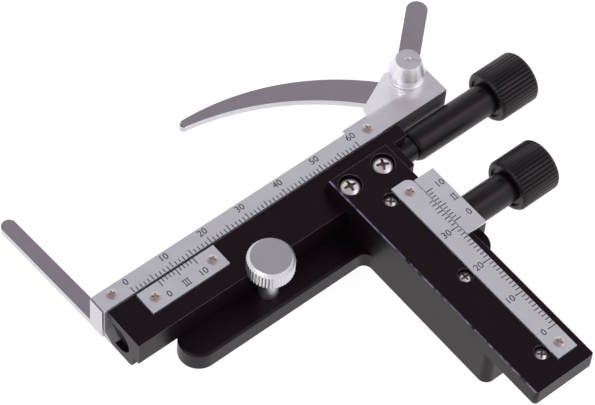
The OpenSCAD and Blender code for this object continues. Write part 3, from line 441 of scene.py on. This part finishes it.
# ---- X slide ----
# A ground steel bar with a foot under the channel, hung in it by a brass guide rail, and a brass
# half nut held by two nickel-plated screws.
slide_look = make_finish(
    "zinc_slide", (0.62, 0.61, 0.66), metallic=0.45, rough=0.4, spread=0.15, shade=0.25,
    grain=3000, cloud=300, bump=0.004, stretch=(1, 6, 6),
)
nickel = make_finish(
    "bright_nickel", (0.78, 0.74, 0.73), metallic=1, rough=0.34, spread=0.15, shade=0.3,
    grain=4200, cloud=600, bump=0.004,
)
dress("x_slide_bar", slide_look, 0.12)
dress("x_guide_rail", brass)
dress("x_half_nut", brass)
dress("half_nut_screws", nickel)

# ---- Scale plates ----
# Four thin nickel-silver plates, finely grained, printed in black with millimetre ticks and numbers,
# and with verniers of ten parts in nine millimetres. The print stands a hair proud.
X_PLATE_Z, Y_PLATE_Z = 12.6, 16.8
X_ZERO, Y_ZERO = -25.0, -47.05              # the scales' zero ticks
X_VERNIER_ZERO, Y_VERNIER_ZERO = -19.53, -15.58
VERNIER_STEP = 0.9
X_TICK_FOOT, X_VERNIER_FOOT, Y_TICK_FOOT, Y_VERNIER_FOOT = 12.95, 12.27, 36.12, 36.4
X_NUMBERS, X_VERNIER_NUMBERS, Y_NUMBERS, Y_VERNIER_NUMBERS = 16.1, 8.4, 32.85, 40.3
INK_DEPTH, INK_LIFT = 0.03, 0.012
TICK_WIDTH = 0.2
DIGIT, FONT_SIZE = 1.55, 1.42               # a number's height, and the font's size for 1
STROKE, STROKE_TALL, SERIF, SERIF_AT = 0.17, 1.5, 0.16, 0.72
plate_look = make_finish(
    "scale_plate", (0.83, 0.84, 0.90), metallic=0.9, rough=0.48, spread=0.12, shade=0.18,
    grain=5200, cloud=260, bump=0.006,
)
ink = make_finish(
    "printed_ink", (0.012, 0.012, 0.014), metallic=0, rough=0.55, spread=0.1, shade=0.6,
    grain=4200, cloud=500, bump=0.002,
)
for plate in ("y_vernier_plate", "y_scale_plate", "x_vernier_plate", "x_scale_plate"):
    dress(plate, plate_look, 0.07)


def make_tick_tree():
    """A row of printed ticks that stand across it, every fifth and every tenth longer."""
    tree = bpy.data.node_groups.new("scale_ticks", "GeometryNodeTree")
    for key, kind in (
        ("Geometry", "Geometry"), ("Count", "Int"), ("Start", "Vector"), ("Step", "Vector"),
        ("Across", "Vector"), ("Short", "Float"), ("Long", "Float"), ("Longest", "Float"),
        ("Width", "Vector"), ("Material", "Material"),
    ):
        add_socket(tree, "INPUT", key, "NodeSocket" + kind)
    add_socket(tree, "OUTPUT", "Geometry", "NodeSocketGeometry")
    given = tree.nodes.new("NodeGroupInput").outputs
    result = tree.nodes.new("NodeGroupOutput")
    line = tree.nodes.new("GeometryNodeMeshLine")
    tree.links.new(given["Count"], line.inputs["Count"])
    tree.links.new(given["Start"], line.inputs["Start Location"])
    tree.links.new(given["Step"], line.inputs["Offset"])
    index = tree.nodes.new("GeometryNodeInputIndex")
    fifth = calc(tree, "LESS_THAN", calc(tree, "MODULO", index.outputs[0], 5), 0.5)
    tenth = calc(tree, "LESS_THAN", calc(tree, "MODULO", index.outputs[0], 10), 0.5)
    more = calc(tree, "SUBTRACT", given["Long"], given["Short"])
    most = calc(tree, "SUBTRACT", given["Longest"], given["Long"])
    length = calc(tree, "MULTIPLY_ADD", fifth, more, given["Short"])
    length = calc(tree, "MULTIPLY_ADD", tenth, most, length)
    reach = tree.nodes.new("ShaderNodeVectorMath")
    reach.operation = "SCALE"
    tree.links.new(given["Across"], reach.inputs[0])
    tree.links.new(length, reach.inputs["Scale"])
    size = tree.nodes.new("ShaderNodeVectorMath")
    size.operation = "ABSOLUTE"
    tree.links.new(reach.outputs[0], size.inputs[0])
    thick = tree.nodes.new("ShaderNodeVectorMath")
    tree.links.new(size.outputs[0], thick.inputs[0])
    tree.links.new(given["Width"], thick.inputs[1])
    middle = tree.nodes.new("ShaderNodeVectorMath")
    middle.operation = "SCALE"
    middle.inputs["Scale"].default_value = 0.5
    tree.links.new(reach.outputs[0], middle.inputs[0])
    moved = tree.nodes.new("GeometryNodeSetPosition")
    tree.links.new(line.outputs[0], moved.inputs["Geometry"])
    tree.links.new(middle.outputs[0], moved.inputs["Offset"])
    block = tree.nodes.new("GeometryNodeMeshCube")
    spread = tree.nodes.new("GeometryNodeInstanceOnPoints")
    tree.links.new(moved.outputs[0], spread.inputs["Points"])
    tree.links.new(block.outputs["Mesh"], spread.inputs["Instance"])
    tree.links.new(thick.outputs[0], spread.inputs["Scale"])
    real = tree.nodes.new("GeometryNodeRealizeInstances")
    inked = tree.nodes.new("GeometryNodeSetMaterial")
    tree.links.new(spread.outputs[0], real.inputs[0])
    tree.links.new(real.outputs[0], inked.inputs["Geometry"])
    tree.links.new(given["Material"], inked.inputs["Material"])
    tree.links.new(inked.outputs[0], result.inputs["Geometry"])
    return tree


def settled(holder):
    """What an object's modifiers and curves come to, as a plain mesh."""
    bpy.context.view_layer.update()
    finished = holder.evaluated_get(bpy.context.evaluated_depsgraph_get())
    return bpy.data.meshes.new_from_object(finished)


def grow(name, base, tree, values):
    """Runs a node tree on a mesh and keeps the result as a plain mesh."""
    carrier = bpy.data.objects.new(name + "_carrier", base)
    bpy.context.scene.collection.objects.link(carrier)
    modifier = carrier.modifiers.new(name, "NODES")
    modifier.node_group = tree
    for item in tree.interface.items_tree:
        if item.item_type == "SOCKET" and item.in_out == "INPUT" and item.name in values:
            modifier[item.identifier] = values[item.name]
    mesh = settled(carrier)
    bpy.data.objects.remove(carrier)
    mesh.name = name
    return mesh


def add_piece(name, mesh, body, slot, *replaced):
    """A finished mesh that rides on a body and stands for the solids it replaces."""
    piece = bpy.data.objects.new(name, mesh)
    bpy.context.scene.collection.objects.link(piece)
    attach(piece, body)
    if replaced:
        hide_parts(*replaced)


def ticks(count, start, step, across, short, long, longest):
    """A row of ticks on a plate, from the first one's foot on the plate's top."""
    foot = Vector(start) + Vector((0, 0, INK_LIFT - INK_DEPTH / 2))
    width = [0 if across[axis] else TICK_WIDTH * MM for axis in range(2)] + [INK_DEPTH * MM]
    return grow("ticks", bpy.data.meshes.new("tick_base"), tick_tree, {
        "Count": count, "Start": foot * MM, "Step": Vector(step) * MM, "Across": Vector(across),
        "Short": short * MM, "Long": long * MM, "Longest": longest * MM,
        "Width": width, "Material": ink,
    })


def number(value, x, y, top):
    """A number as a thin printed mesh, centred on a place, reading along +X."""
    curve = bpy.data.curves.new("ink", "FONT")
    curve.body = str(value)
    curve.size = DIGIT * MM * FONT_SIZE
    curve.align_x = "CENTER"
    curve.align_y = "CENTER"
    curve.extrude = INK_DEPTH * MM / 2
    curve.resolution_u = 4
    writing = bpy.data.objects.new("ink", curve)
    bpy.context.scene.collection.objects.link(writing)
    mesh = settled(writing)
    bpy.data.objects.remove(writing)
    xs, ys = [v.co.x for v in mesh.vertices], [v.co.y for v in mesh.vertices]
    centre = Vector(((min(xs) + max(xs)) / 2, (min(ys) + max(ys)) / 2, 0))
    place = Vector((x, y, top + INK_LIFT - INK_DEPTH / 2)) * MM
    mesh.transform(Matrix.Translation(place - centre))
    return mesh


def strokes(at, wide, x, y, top):
    """Upright strokes at places along X, between two long serifs of one width."""
    bars = [(dx, 0, STROKE, STROKE_TALL) for dx in at]
    bars += [(0, dy, wide, SERIF) for dy in (-SERIF_AT, SERIF_AT)]
    mesh = bpy.data.meshes.new("ink")
    shape = bmesh.new()
    for dx, dy, long, tall in bars:
        size = Matrix.Diagonal((long * MM, tall * MM, INK_DEPTH * MM, 1))
        place = Matrix.Translation(Vector((x + dx, y + dy, top + INK_LIFT - INK_DEPTH / 2)) * MM)
        bmesh.ops.create_cube(shape, size=1, matrix=place @ size)
    shape.to_mesh(mesh)
    shape.free()
    return mesh


def print_on(name, parts, body):
    """Joins ticks and numbers into one printed piece."""
    shape = bmesh.new()
    for part in parts:
        shape.from_mesh(part)
    mesh = bpy.data.meshes.new(name)
    shape.to_mesh(mesh)
    shape.free()
    mesh.materials.clear()
    mesh.materials.append(ink)
    for face in mesh.polygons:
        face.material_index = 0
    add_piece(name, mesh, body, "black_paint")


tick_tree = make_tick_tree()
print_on("x_scale_print", [
    ticks(61, (X_ZERO, X_TICK_FOOT, X_PLATE_Z), (1, 0, 0), (0, 1, 0),
          short=1.0, long=1.5, longest=1.5),
    *(number(10 * n, X_ZERO + 10 * n, X_NUMBERS, X_PLATE_Z) for n in range(7)),
], "x_slide")
print_on("x_vernier_print", [
    ticks(11, (X_VERNIER_ZERO, X_VERNIER_FOOT, X_PLATE_Z), (VERNIER_STEP, 0, 0), (0, -1, 0),
          short=0.95, long=1.65, longest=1.65),
    number(0, -19.6, X_VERNIER_NUMBERS, X_PLATE_Z),
    number(10, -10.6, X_VERNIER_NUMBERS, X_PLATE_Z),
    strokes((-0.55, 0, 0.55), 1.75, -15.05, X_VERNIER_NUMBERS, X_PLATE_Z),
], "y_carriage")
print_on("y_scale_print", [
    ticks(39, (Y_TICK_FOOT, Y_ZERO, Y_PLATE_Z), (0, 1, 0), (-1, 0, 0),
          short=1.1, long=1.4, longest=2.1),
    *(number(10 * n, Y_NUMBERS, Y_ZERO + 10 * n, Y_PLATE_Z) for n in range(4)),
], "y_carriage")
print_on("y_vernier_print", [
    ticks(11, (Y_VERNIER_FOOT, Y_VERNIER_ZERO, Y_PLATE_Z), (0, VERNIER_STEP, 0), (1, 0, 0),
          short=1.15, long=1.5, longest=1.65),
    number(0, Y_VERNIER_NUMBERS, -15.56, Y_PLATE_Z),
    number(10, Y_VERNIER_NUMBERS, -6.45, Y_PLATE_Z),
    strokes((-0.32, 0.32), 1.3, Y_VERNIER_NUMBERS, -10.9, Y_PLATE_Z),
], "base")

# ---- Screws ----
# Nickel-plated steel screws with cross recesses, each turned its own way: domed heads down in the
# bar's counterbores, and nearly flat ones through the ends of the scale plates. One plating is
# painted lighter on the bar's heads and darker on the plates' heads as painted light and shade,
# and the recesses are painted darker as shade.
COUNTERBORE_Z = 14.7
HEAD_SIDES, SHANK_SIDES, POINT_SIDES = 36, 24, 12
# The recess, in shares of the head's radius: its two arms, and the point where they meet.
ARM_WIDE, ARM_LONG, ARM_TALL, ARM_LIFT = 0.28, 1.3, 1.0, 0.28
POINT_TOP, POINT_BOTTOM, POINT_TALL, POINT_DROP = 0.36, 0.12, 0.9, 0.42
# Painted light and shade: one nickel plating in a lighter copy for the bar's screws and a darker copy
# for the plates' screws.
head_painted_lit = make_finish(
    "head_painted_lit", (0.95, 0.92, 0.91), metallic=1, rough=0.4, spread=0.2, shade=0.4,
    grain=4200, cloud=600, bump=0.004,
)
head_painted_shaded = make_finish(
    "head_painted_shaded", (0.68, 0.61, 0.58), metallic=1, rough=0.36, spread=0.2, shade=0.4,
    grain=4200, cloud=600, bump=0.004,
)
# Painted shade: a darker colour on the faces of the cross recesses.
painted_recess_shade = make_finish(
    "painted_recess_shade", (0.4, 0.34, 0.32), metallic=0.8, rough=0.4, spread=0.2, shade=0.6,
    grain=4200, cloud=900, bump=0.004,
)


def make_screw_tree():
    """A domed head with a cross recess and a shank on every point, turned at random."""
    tree = bpy.data.node_groups.new("cross_screws", "GeometryNodeTree")
    for key, kind in (
        ("Geometry", "Geometry"), ("Head Radius", "Float"), ("Head Height", "Float"),
        ("Dome", "Float"), ("Shank Radius", "Float"), ("Shank Length", "Float"), ("Seed", "Int"),
        ("Material", "Material"), ("Recess Material", "Material"),
    ):
        add_socket(tree, "INPUT", key, "NodeSocket" + kind)
    add_socket(tree, "OUTPUT", "Geometry", "NodeSocketGeometry")
    given = tree.nodes.new("NodeGroupInput").outputs
    result = tree.nodes.new("NodeGroupOutput")
    link = tree.links.new
    radius, tall = given["Head Radius"], given["Head Height"]

    def times(value, share):
        return calc(tree, "MULTIPLY", value, share)

    def vector(*values):
        made = tree.nodes.new("ShaderNodeCombineXYZ")
        for socket, value in zip(made.inputs, values):
            feed(tree, socket, value)
        return made.outputs[0]

    def raised(geometry, lift):
        made = tree.nodes.new("GeometryNodeTransform")
        link(geometry, made.inputs["Geometry"])
        link(vector(0.0, 0.0, lift), made.inputs["Translation"])
        return made.outputs[0]

    def finished(geometry, look):
        made = tree.nodes.new("GeometryNodeSetMaterial")
        link(geometry, made.inputs["Geometry"])
        link(look, made.inputs["Material"])
        return made.outputs[0]

    head = tree.nodes.new("GeometryNodeMeshCylinder")
    head.inputs["Vertices"].default_value = HEAD_SIDES
    head.inputs["Fill Segments"].default_value = 5
    link(radius, head.inputs["Radius"])
    link(tall, head.inputs["Depth"])
    place = tree.nodes.new("GeometryNodeInputPosition")
    parts = tree.nodes.new("ShaderNodeSeparateXYZ")
    link(place.outputs[0], parts.inputs[0])
    square = calc(tree, "ADD", *(calc(tree, "POWER", parts.outputs[axis], 2) for axis in "XY"))
    share = calc(tree, "DIVIDE", square, calc(tree, "POWER", radius, 2))
    rise = times(calc(tree, "SUBTRACT", 1.0, share), given["Dome"])
    on_top = calc(tree, "GREATER_THAN", parts.outputs["Z"], 0.0)
    domed = tree.nodes.new("GeometryNodeSetPosition")
    link(head.outputs["Mesh"], domed.inputs["Geometry"])
    link(vector(0.0, 0.0, times(rise, on_top)), domed.inputs["Offset"])
    arms = tree.nodes.new("GeometryNodeJoinGeometry")
    for wide, long in ((ARM_WIDE, ARM_LONG), (ARM_LONG, ARM_WIDE)):
        arm = tree.nodes.new("GeometryNodeMeshCube")
        sides = (times(radius, share) for share in (wide, long, ARM_TALL))
        link(vector(*sides), arm.inputs["Size"])
        lift = calc(tree, "ADD", times(tall, 0.5), times(radius, ARM_LIFT))
        link(raised(arm.outputs["Mesh"], lift), arms.inputs[0])
    point = tree.nodes.new("GeometryNodeMeshCone")
    point.inputs["Vertices"].default_value = POINT_SIDES
    link(times(radius, POINT_TOP), point.inputs["Radius Top"])
    link(times(radius, POINT_BOTTOM), point.inputs["Radius Bottom"])
    link(times(radius, POINT_TALL), point.inputs["Depth"])
    drop = calc(tree, "SUBTRACT", times(tall, 0.5), times(radius, POINT_DROP))
    link(raised(point.outputs["Mesh"], drop), arms.inputs[0])
    recess = tree.nodes.new("GeometryNodeMeshBoolean")
    recess.operation = "DIFFERENCE"
    recess.solver = "EXACT"
    recess.inputs["Self Intersection"].default_value = True
    link(finished(domed.outputs[0], given["Material"]), recess.inputs["Mesh 1"])
    link(finished(arms.outputs[0], given["Recess Material"]), recess.inputs["Mesh 2"])
    shank = tree.nodes.new("GeometryNodeMeshCylinder")
    shank.inputs["Vertices"].default_value = SHANK_SIDES
    link(given["Shank Radius"], shank.inputs["Radius"])
    link(given["Shank Length"], shank.inputs["Depth"])
    hung = raised(shank.outputs["Mesh"], times(given["Shank Length"], -0.5))
    whole = tree.nodes.new("GeometryNodeJoinGeometry")
    link(raised(recess.outputs["Mesh"], times(tall, 0.5)), whole.inputs[0])
    link(finished(hung, given["Material"]), whole.inputs[0])
    turn = tree.nodes.new("FunctionNodeRandomValue")
    turn.inputs["Max"].default_value = math.pi / 2
    link(given["Seed"], turn.inputs["Seed"])
    spread = tree.nodes.new("GeometryNodeInstanceOnPoints")
    link(given["Geometry"], spread.inputs["Points"])
    link(whole.outputs[0], spread.inputs["Instance"])
    link(vector(0.0, 0.0, next(s for s in turn.outputs if s.enabled)), spread.inputs["Rotation"])
    real = tree.nodes.new("GeometryNodeRealizeInstances")
    link(spread.outputs[0], real.inputs[0])
    link(real.outputs[0], result.inputs["Geometry"])
    return tree


def crisp(mesh, degrees=35):
    """Smooth shading across shallow edges only."""
    mesh.shade_smooth()
    mesh.set_sharp_from_angle(angle=math.radians(degrees))
    return mesh


def screws(name, places, seat, size, shank_length, body, seed, plating):
    """Screws standing on their seats, in place of the plain solid ones.

    A size is the head's radius, its height, its dome and the shank's radius."""
    head, tall, dome, shank = (value * MM for value in size)
    points = bpy.data.meshes.new(name)
    points.from_pydata([Vector((x, y, seat)) * MM for x, y in places], [], [])
    mesh = grow(name, points, screw_tree, {
        "Head Radius": head, "Head Height": tall, "Dome": dome, "Shank Radius": shank,
        "Shank Length": shank_length * MM, "Seed": seed, "Material": plating,
        "Recess Material": painted_recess_shade,
    })
    add_piece(name + "_cross", crisp(mesh), body, "screw_nickel", name)


screw_tree = make_screw_tree()
BIG_SCREW = (2.15, 0.8, 0.65, 1.25)
SMALL_SCREW = (1.45, 0.6, 0.45, 0.9)
PLATE_SCREW = (1.25, 0.1, 0.24, 0.7)
screws("housing_screws", [(25.25, 4.75), (34.2, 4.75)],
       COUNTERBORE_Z, BIG_SCREW, 5.7, "y_carriage", seed=3, plating=head_painted_lit)
screws("y_bar_screws", [(29.6, -50.2), (29.6, -26.8), (29.6, -3.25)],
       COUNTERBORE_Z, SMALL_SCREW, 5.0, "y_carriage", seed=5, plating=head_painted_lit)
screws("y_scale_screws", [(33.8, -50.7), (33.8, -4.4)],
       Y_PLATE_Z, PLATE_SCREW, 3.4, "y_carriage", seed=8, plating=head_painted_shaded)
screws("x_vernier_screws", [(-22.4, 9.5), (-7.5, 9.5)],
       X_PLATE_Z, PLATE_SCREW, 1.8, "y_carriage", seed=11, plating=head_painted_shaded)
screws("x_scale_screws", [(-29.03, 15.4), (39.31, 15.4)],
       X_PLATE_Z, PLATE_SCREW, 3.5, "x_slide", seed=14, plating=head_painted_shaded)

# ---- Clamp screw ----
# The thumb screw that fixes the arm to the microscope: a fluted chrome head turned in one piece with
# its stem, its plating worn dull, and a steel stud below with an M4 thread.
UP, ALONG_X = Vector((0, 0, 1)), Vector((1, 0, 0))
STUD_R, STUD_PITCH, STUD_END = 2.0, 0.7, -5.5
SPIGOT_R, SPIGOT_TOP = 1.6, 12.03       # the stud's upper part, which fills the stem
STEM_R, STEM_Z = 2.2, 5.03
HEAD_R, HEAD_Z, HEAD_TOP = 5.14, 13.9, 18.35
HEAD_FLUTES, THUMB_SIDES = 44, 352
head_chrome = make_finish(
    "worn_chrome", (0.70, 0.685, 0.73), metallic=1, rough=0.36, spread=0.1, shade=0.25,
    grain=3600, cloud=220, bump=0.003,
)


def flutes(count, depth, share=1.0):
    """Grooves along a turned piece. A share below 1 leaves flat lands between them."""
    def cut(angle, along):
        part = abs((angle * count / (2 * math.pi)) % 1 - 0.5) * 2
        return depth * max(0.0, 1 - part / share)
    return cut


def thread(pitch, starts, depth):
    """A right-hand thread: its crest moves along as the angle turns."""
    def cut(angle, along):
        part = (along / pitch - angle / (2 * math.pi) * starts) % 1
        return depth * abs(part - 0.5) * 2
    return cut


def turned(name, place, along, rings, sides):
    """A closed body of revolution, in millimetres.

    A ring is its distance along the axis, its radius and, where it has one, its cut."""
    side = Vector((0, 0, 1)) if abs(along.z) < 0.5 else Vector((1, 0, 0))
    other = along.cross(side)
    points, faces = [], []
    for distance, radius, *cuts in rings:
        for k in range(sides):
            angle = 2 * math.pi * k / sides
            r = radius - sum(cut(angle, distance) for cut in cuts)
            out = side * math.cos(angle) + other * math.sin(angle)
            points.append((place + along * distance + out * r) * MM)
    for i in range(len(rings) - 1):
        for k in range(sides):
            j = (k + 1) % sides
            faces.append((i * sides + k, i * sides + j, (i + 1) * sides + j, (i + 1) * sides + k))
    last = (len(rings) - 1) * sides
    points += [(place + along * rings[0][0]) * MM, (place + along * rings[-1][0]) * MM]
    for k in range(sides):
        j = (k + 1) % sides
        faces.append((j, k, len(points) - 2))
        faces.append((last + k, last + j, len(points) - 1))
    mesh = bpy.data.meshes.new(name)
    mesh.from_pydata(points, [], faces)
    shape = bmesh.new()
    shape.from_mesh(mesh)
    bmesh.ops.remove_doubles(shape, verts=shape.verts, dist=SAME_POINT * MM)
    bmesh.ops.recalc_face_normals(shape, faces=shape.faces)
    shape.to_mesh(mesh)
    shape.free()
    return mesh


def steps(first, last, step):
    """Even distances from first to last, about a step apart."""
    count = max(1, round((last - first) / step))
    return [first + (last - first) * i / count for i in range(count + 1)]


head_flutes, run_out = flutes(HEAD_FLUTES, 0.24), flutes(HEAD_FLUTES, 0.08)
screw_head = turned("clamp_screw_head", Vector((0, 0, 0)), UP, [
    (SPIGOT_TOP, SPIGOT_R), (STEM_Z, SPIGOT_R), (STEM_Z, 2.05), (5.2, STEM_R), (HEAD_Z, STEM_R),
    (HEAD_Z, 4.75), (14.0, 4.95), (14.2, HEAD_R, head_flutes), (17.5, HEAD_R, head_flutes),
    (17.6, 5.06, run_out), (18.25, 4.5), (HEAD_TOP, 4.38), (HEAD_TOP, 2.0),
], THUMB_SIDES)
screw_head.materials.append(head_chrome)
add_piece("fluted_clamp_head", crisp(screw_head, 28), "clamp_screw", "chrome", "clamp_screw_head")

stud_thread = thread(STUD_PITCH, 1, 0.38)
stud = turned("clamp_screw_stud", Vector((0, 0, 0)), UP, [
    (STUD_END, 1.5),
    *((z, SPIGOT_R + (z - STUD_END) * 0.8, stud_thread) for z in steps(-5.45, -5.05, 0.1)),
    *((z, STUD_R, stud_thread) for z in steps(-5.0, 0, STUD_PITCH / 8)),
    (0, SPIGOT_R), (SPIGOT_TOP, SPIGOT_R),
], 64)
stud.materials.append(steel)
add_piece("threaded_stud", crisp(stud, 50), "clamp_screw", "steel", "clamp_screw_stud")

# ---- Clamp block, fingers and lever ----
# A bright block screwed to the slide's right end, with a spring inside. The fingers and the lever are
# stamped steel, brushed along their length, with rolled edges that catch the light. The bevelled
# edges of the block, the fingers and the lever are also painted lighter as a painted highlight.
block_look = make_finish(
    "bright_block", (0.94, 0.925, 0.97), metallic=1, rough=0.36, spread=0.1, shade=0.25,
    grain=3000, cloud=300, bump=0.008, stretch=(1, 8, 8),
)
# The block's bevelled edges: a lighter, less metallic colour, a painted highlight.
block_edge_highlight = make_finish(
    "block_painted_highlight_edge", (0.97, 0.96, 0.99), metallic=0.6, rough=0.4, spread=0.1, shade=0.1,
    grain=4200, cloud=300, bump=0.003,
)
finger_look = make_finish(
    "brushed_finger", (0.62, 0.60, 0.65), metallic=1, rough=0.2, spread=0.1, shade=0.2,
    grain=2600, cloud=200, bump=0.004,
)
# The bevelled edges of the fingers and the lever: a lighter colour, a painted highlight.
finger_edge_highlight = make_finish(
    "rolled_edge_painted_highlight", (0.9, 0.89, 0.92), metallic=1, rough=0.25, spread=0.1, shade=0.2,
    grain=2600, cloud=200, bump=0.003,
)
dress("clamp_block", block_look, 0.14, block_edge_highlight)
dress("fixed_finger", finger_look, 0.2, finger_edge_highlight)
for stamping in ("curved_finger", "clamp_lever"):
    dress(stamping, finger_look, 0.25, finger_edge_highlight)
for fastener in ("clamp_block_screws", "fixed_finger_screws", "curved_finger_screw"):
    dress(fastener, nickel)
for hidden in ("clamp_spring", "clamp_spindle"):
    dress(hidden, steel)

# ---- Clamp hub ----
# Turned and chromed in one piece: a wide foot with a groove round it, a cone, and a flat top with a
# centre hole and a slot out to its right side. It turns with the lever.
HUB_X, HUB_Y, HUB_TOP = 54.85, 21.0, 18.6
HUB_FOOT_R, HUB_GROOVE_R, HUB_BORE_R = 4.0, 3.82, 1.6
SLOT_TURN, SLOT_LONG, SLOT_WIDE, SLOT_DEEP = math.radians(-48.6), 3.2, 0.6, 0.45
turned_chrome = make_finish(
    "turned_chrome", (0.86, 0.85, 0.89), metallic=1, rough=0.38, spread=0.2, shade=0.3,
    grain=2600, cloud=500, bump=0.012, stretch=(1, 1, 14),
)


def cut_slot(mesh, middle, turn, long, wide, deep):
    """The mesh with a slot cut into its top, from the middle outwards."""
    tool = bpy.data.meshes.new("slot_tool")
    shape = bmesh.new()
    place = Matrix.Translation(middle * MM) @ Matrix.Rotation(turn, 4, "Z")
    size = Matrix.Diagonal((long * MM, wide * MM, 2 * deep * MM, 1))
    outwards = Matrix.Translation((long * MM / 2, 0, 0))
    bmesh.ops.create_cube(shape, size=1, matrix=place @ outwards @ size)
    shape.to_mesh(tool)
    shape.free()
    holder = bpy.data.objects.new("slot_holder", mesh)
    cutter = bpy.data.objects.new("slot_cutter", tool)
    for made in (holder, cutter):
        bpy.context.scene.collection.objects.link(made)
    difference = holder.modifiers.new("slot", "BOOLEAN")
    difference.operation = "DIFFERENCE"
    difference.object = cutter
    result = settled(holder)
    for made in (holder, cutter):
        bpy.data.objects.remove(made)
    return result


hub = turned("clamp_hub", Vector((HUB_X, HUB_Y, 0)), UP, [
    (17.1, HUB_BORE_R), (12.65, HUB_BORE_R),
    (12.65, 3.75), (12.8, HUB_FOOT_R), (13.35, HUB_FOOT_R), (13.5, HUB_GROOVE_R),
    (13.65, HUB_GROOVE_R), (13.8, HUB_FOOT_R), (15.1, HUB_FOOT_R), (15.45, 3.86),
    (18.38, 2.87), (HUB_TOP, 2.74), (HUB_TOP, 0.75), (18.25, 0.6), (18.25, 0.2),
], 96)
hub.materials.append(turned_chrome)
hub = cut_slot(hub, Vector((HUB_X, HUB_Y, HUB_TOP)), SLOT_TURN, SLOT_LONG, SLOT_WIDE, SLOT_DEEP)
add_piece("turned_clamp_hub", crisp(hub, 30), "slide_clamp", "chrome", "clamp_hub")

# ---- Lead screw ----
# A six-start lead screw in one piece with the X shaft: a pin in the left bush, painted near black as
# shade, the thread, a collar against the right bush, and the plain shaft that carries the sleeve and
# the knob.
DRIVE_Z, X_DRIVE_Y = 6.6, 9.05
PIN_R, PIN_END, THREAD_R, THREAD_ROOT = 1.2, -29.05, 2.0, 1.55
COLLAR_R, COLLAR_FROM, COLLAR_TO, SHAFT_R, SHAFT_END = 3.0, 38.05, 38.95, 2.2, 72.0
lead_thread = thread(2.0, 6, 0.45)
lead = turned("x_lead_screw", Vector((0, X_DRIVE_Y, DRIVE_Z)), ALONG_X, [
    (-30.7, 1.1), (-30.6, PIN_R), (PIN_END, PIN_R), (PIN_END, THREAD_ROOT),
    *((x, THREAD_R, lead_thread) for x in steps(-29.0, 37.95, 0.25)),
    (37.95, THREAD_ROOT), (COLLAR_FROM, THREAD_ROOT), (COLLAR_FROM, COLLAR_R), (COLLAR_TO, COLLAR_R),
    (COLLAR_TO, SHAFT_R), (SHAFT_END, SHAFT_R),
], 72)
lead.materials.append(steel)
lead.materials.append(blued_and_shade)
# The pin's faces are painted near black as the shade inside the left bush.
for face in lead.polygons:
    face.material_index = int(face.center.x < (PIN_END - 0.01) * MM)
add_piece("threaded_lead_screw", crisp(lead, 50), "x_drive", "steel", "x_lead_screw")

# ---- Knobs and sleeves ----
# Black anodised sleeves and ribbed knobs on both shafts, each knob pinned by a grub screw. The steel
# Y shaft carries a brass pinion.
Y_DRIVE_Y = -11.1
KNOB_R, KNOB_SIDES = 6.0, 400
KNOB_RIBS = flutes(40, 0.2, 0.42)
anodised = make_finish(
    "black_anodised", (0.0095, 0.0078, 0.009), metallic=0, rough=0.36, spread=0.15, shade=0.5,
    grain=3400, cloud=200, bump=0.006, specular=0.36, tint=MAUVE,
)
dress("y_shaft", steel)
dress("y_pinion", brass)
for axis in "xy":
    dress(axis + "_sleeve", anodised, 0.12)
    dress(axis + "_grub_screw", blued_and_shade)
for name, x, y, body in (
    ("x_knob", 68.0, X_DRIVE_Y, "x_drive"), ("y_knob", 55.9, Y_DRIVE_Y, "y_drive"),
):
    knob = turned(name, Vector((x, y, DRIVE_Z)), ALONG_X, [
        (7.0, 3.1), (0.5, 3.1), (0.5, 4.7), (0.08, 4.7), (0, 4.8), (0, 5.4), (0.12, 5.6),
        (0.55, 5.95, KNOB_RIBS), (0.7, KNOB_R, KNOB_RIBS), (9.7, KNOB_R, KNOB_RIBS),
        (9.85, 5.95, KNOB_RIBS), (10.28, 5.6), (10.4, 5.4), (10.4, 3.0),
    ], KNOB_SIDES)
    knob.materials.append(anodised)
    add_piece("ribbed_" + name, crisp(knob, 28), body, "knob_black", name)
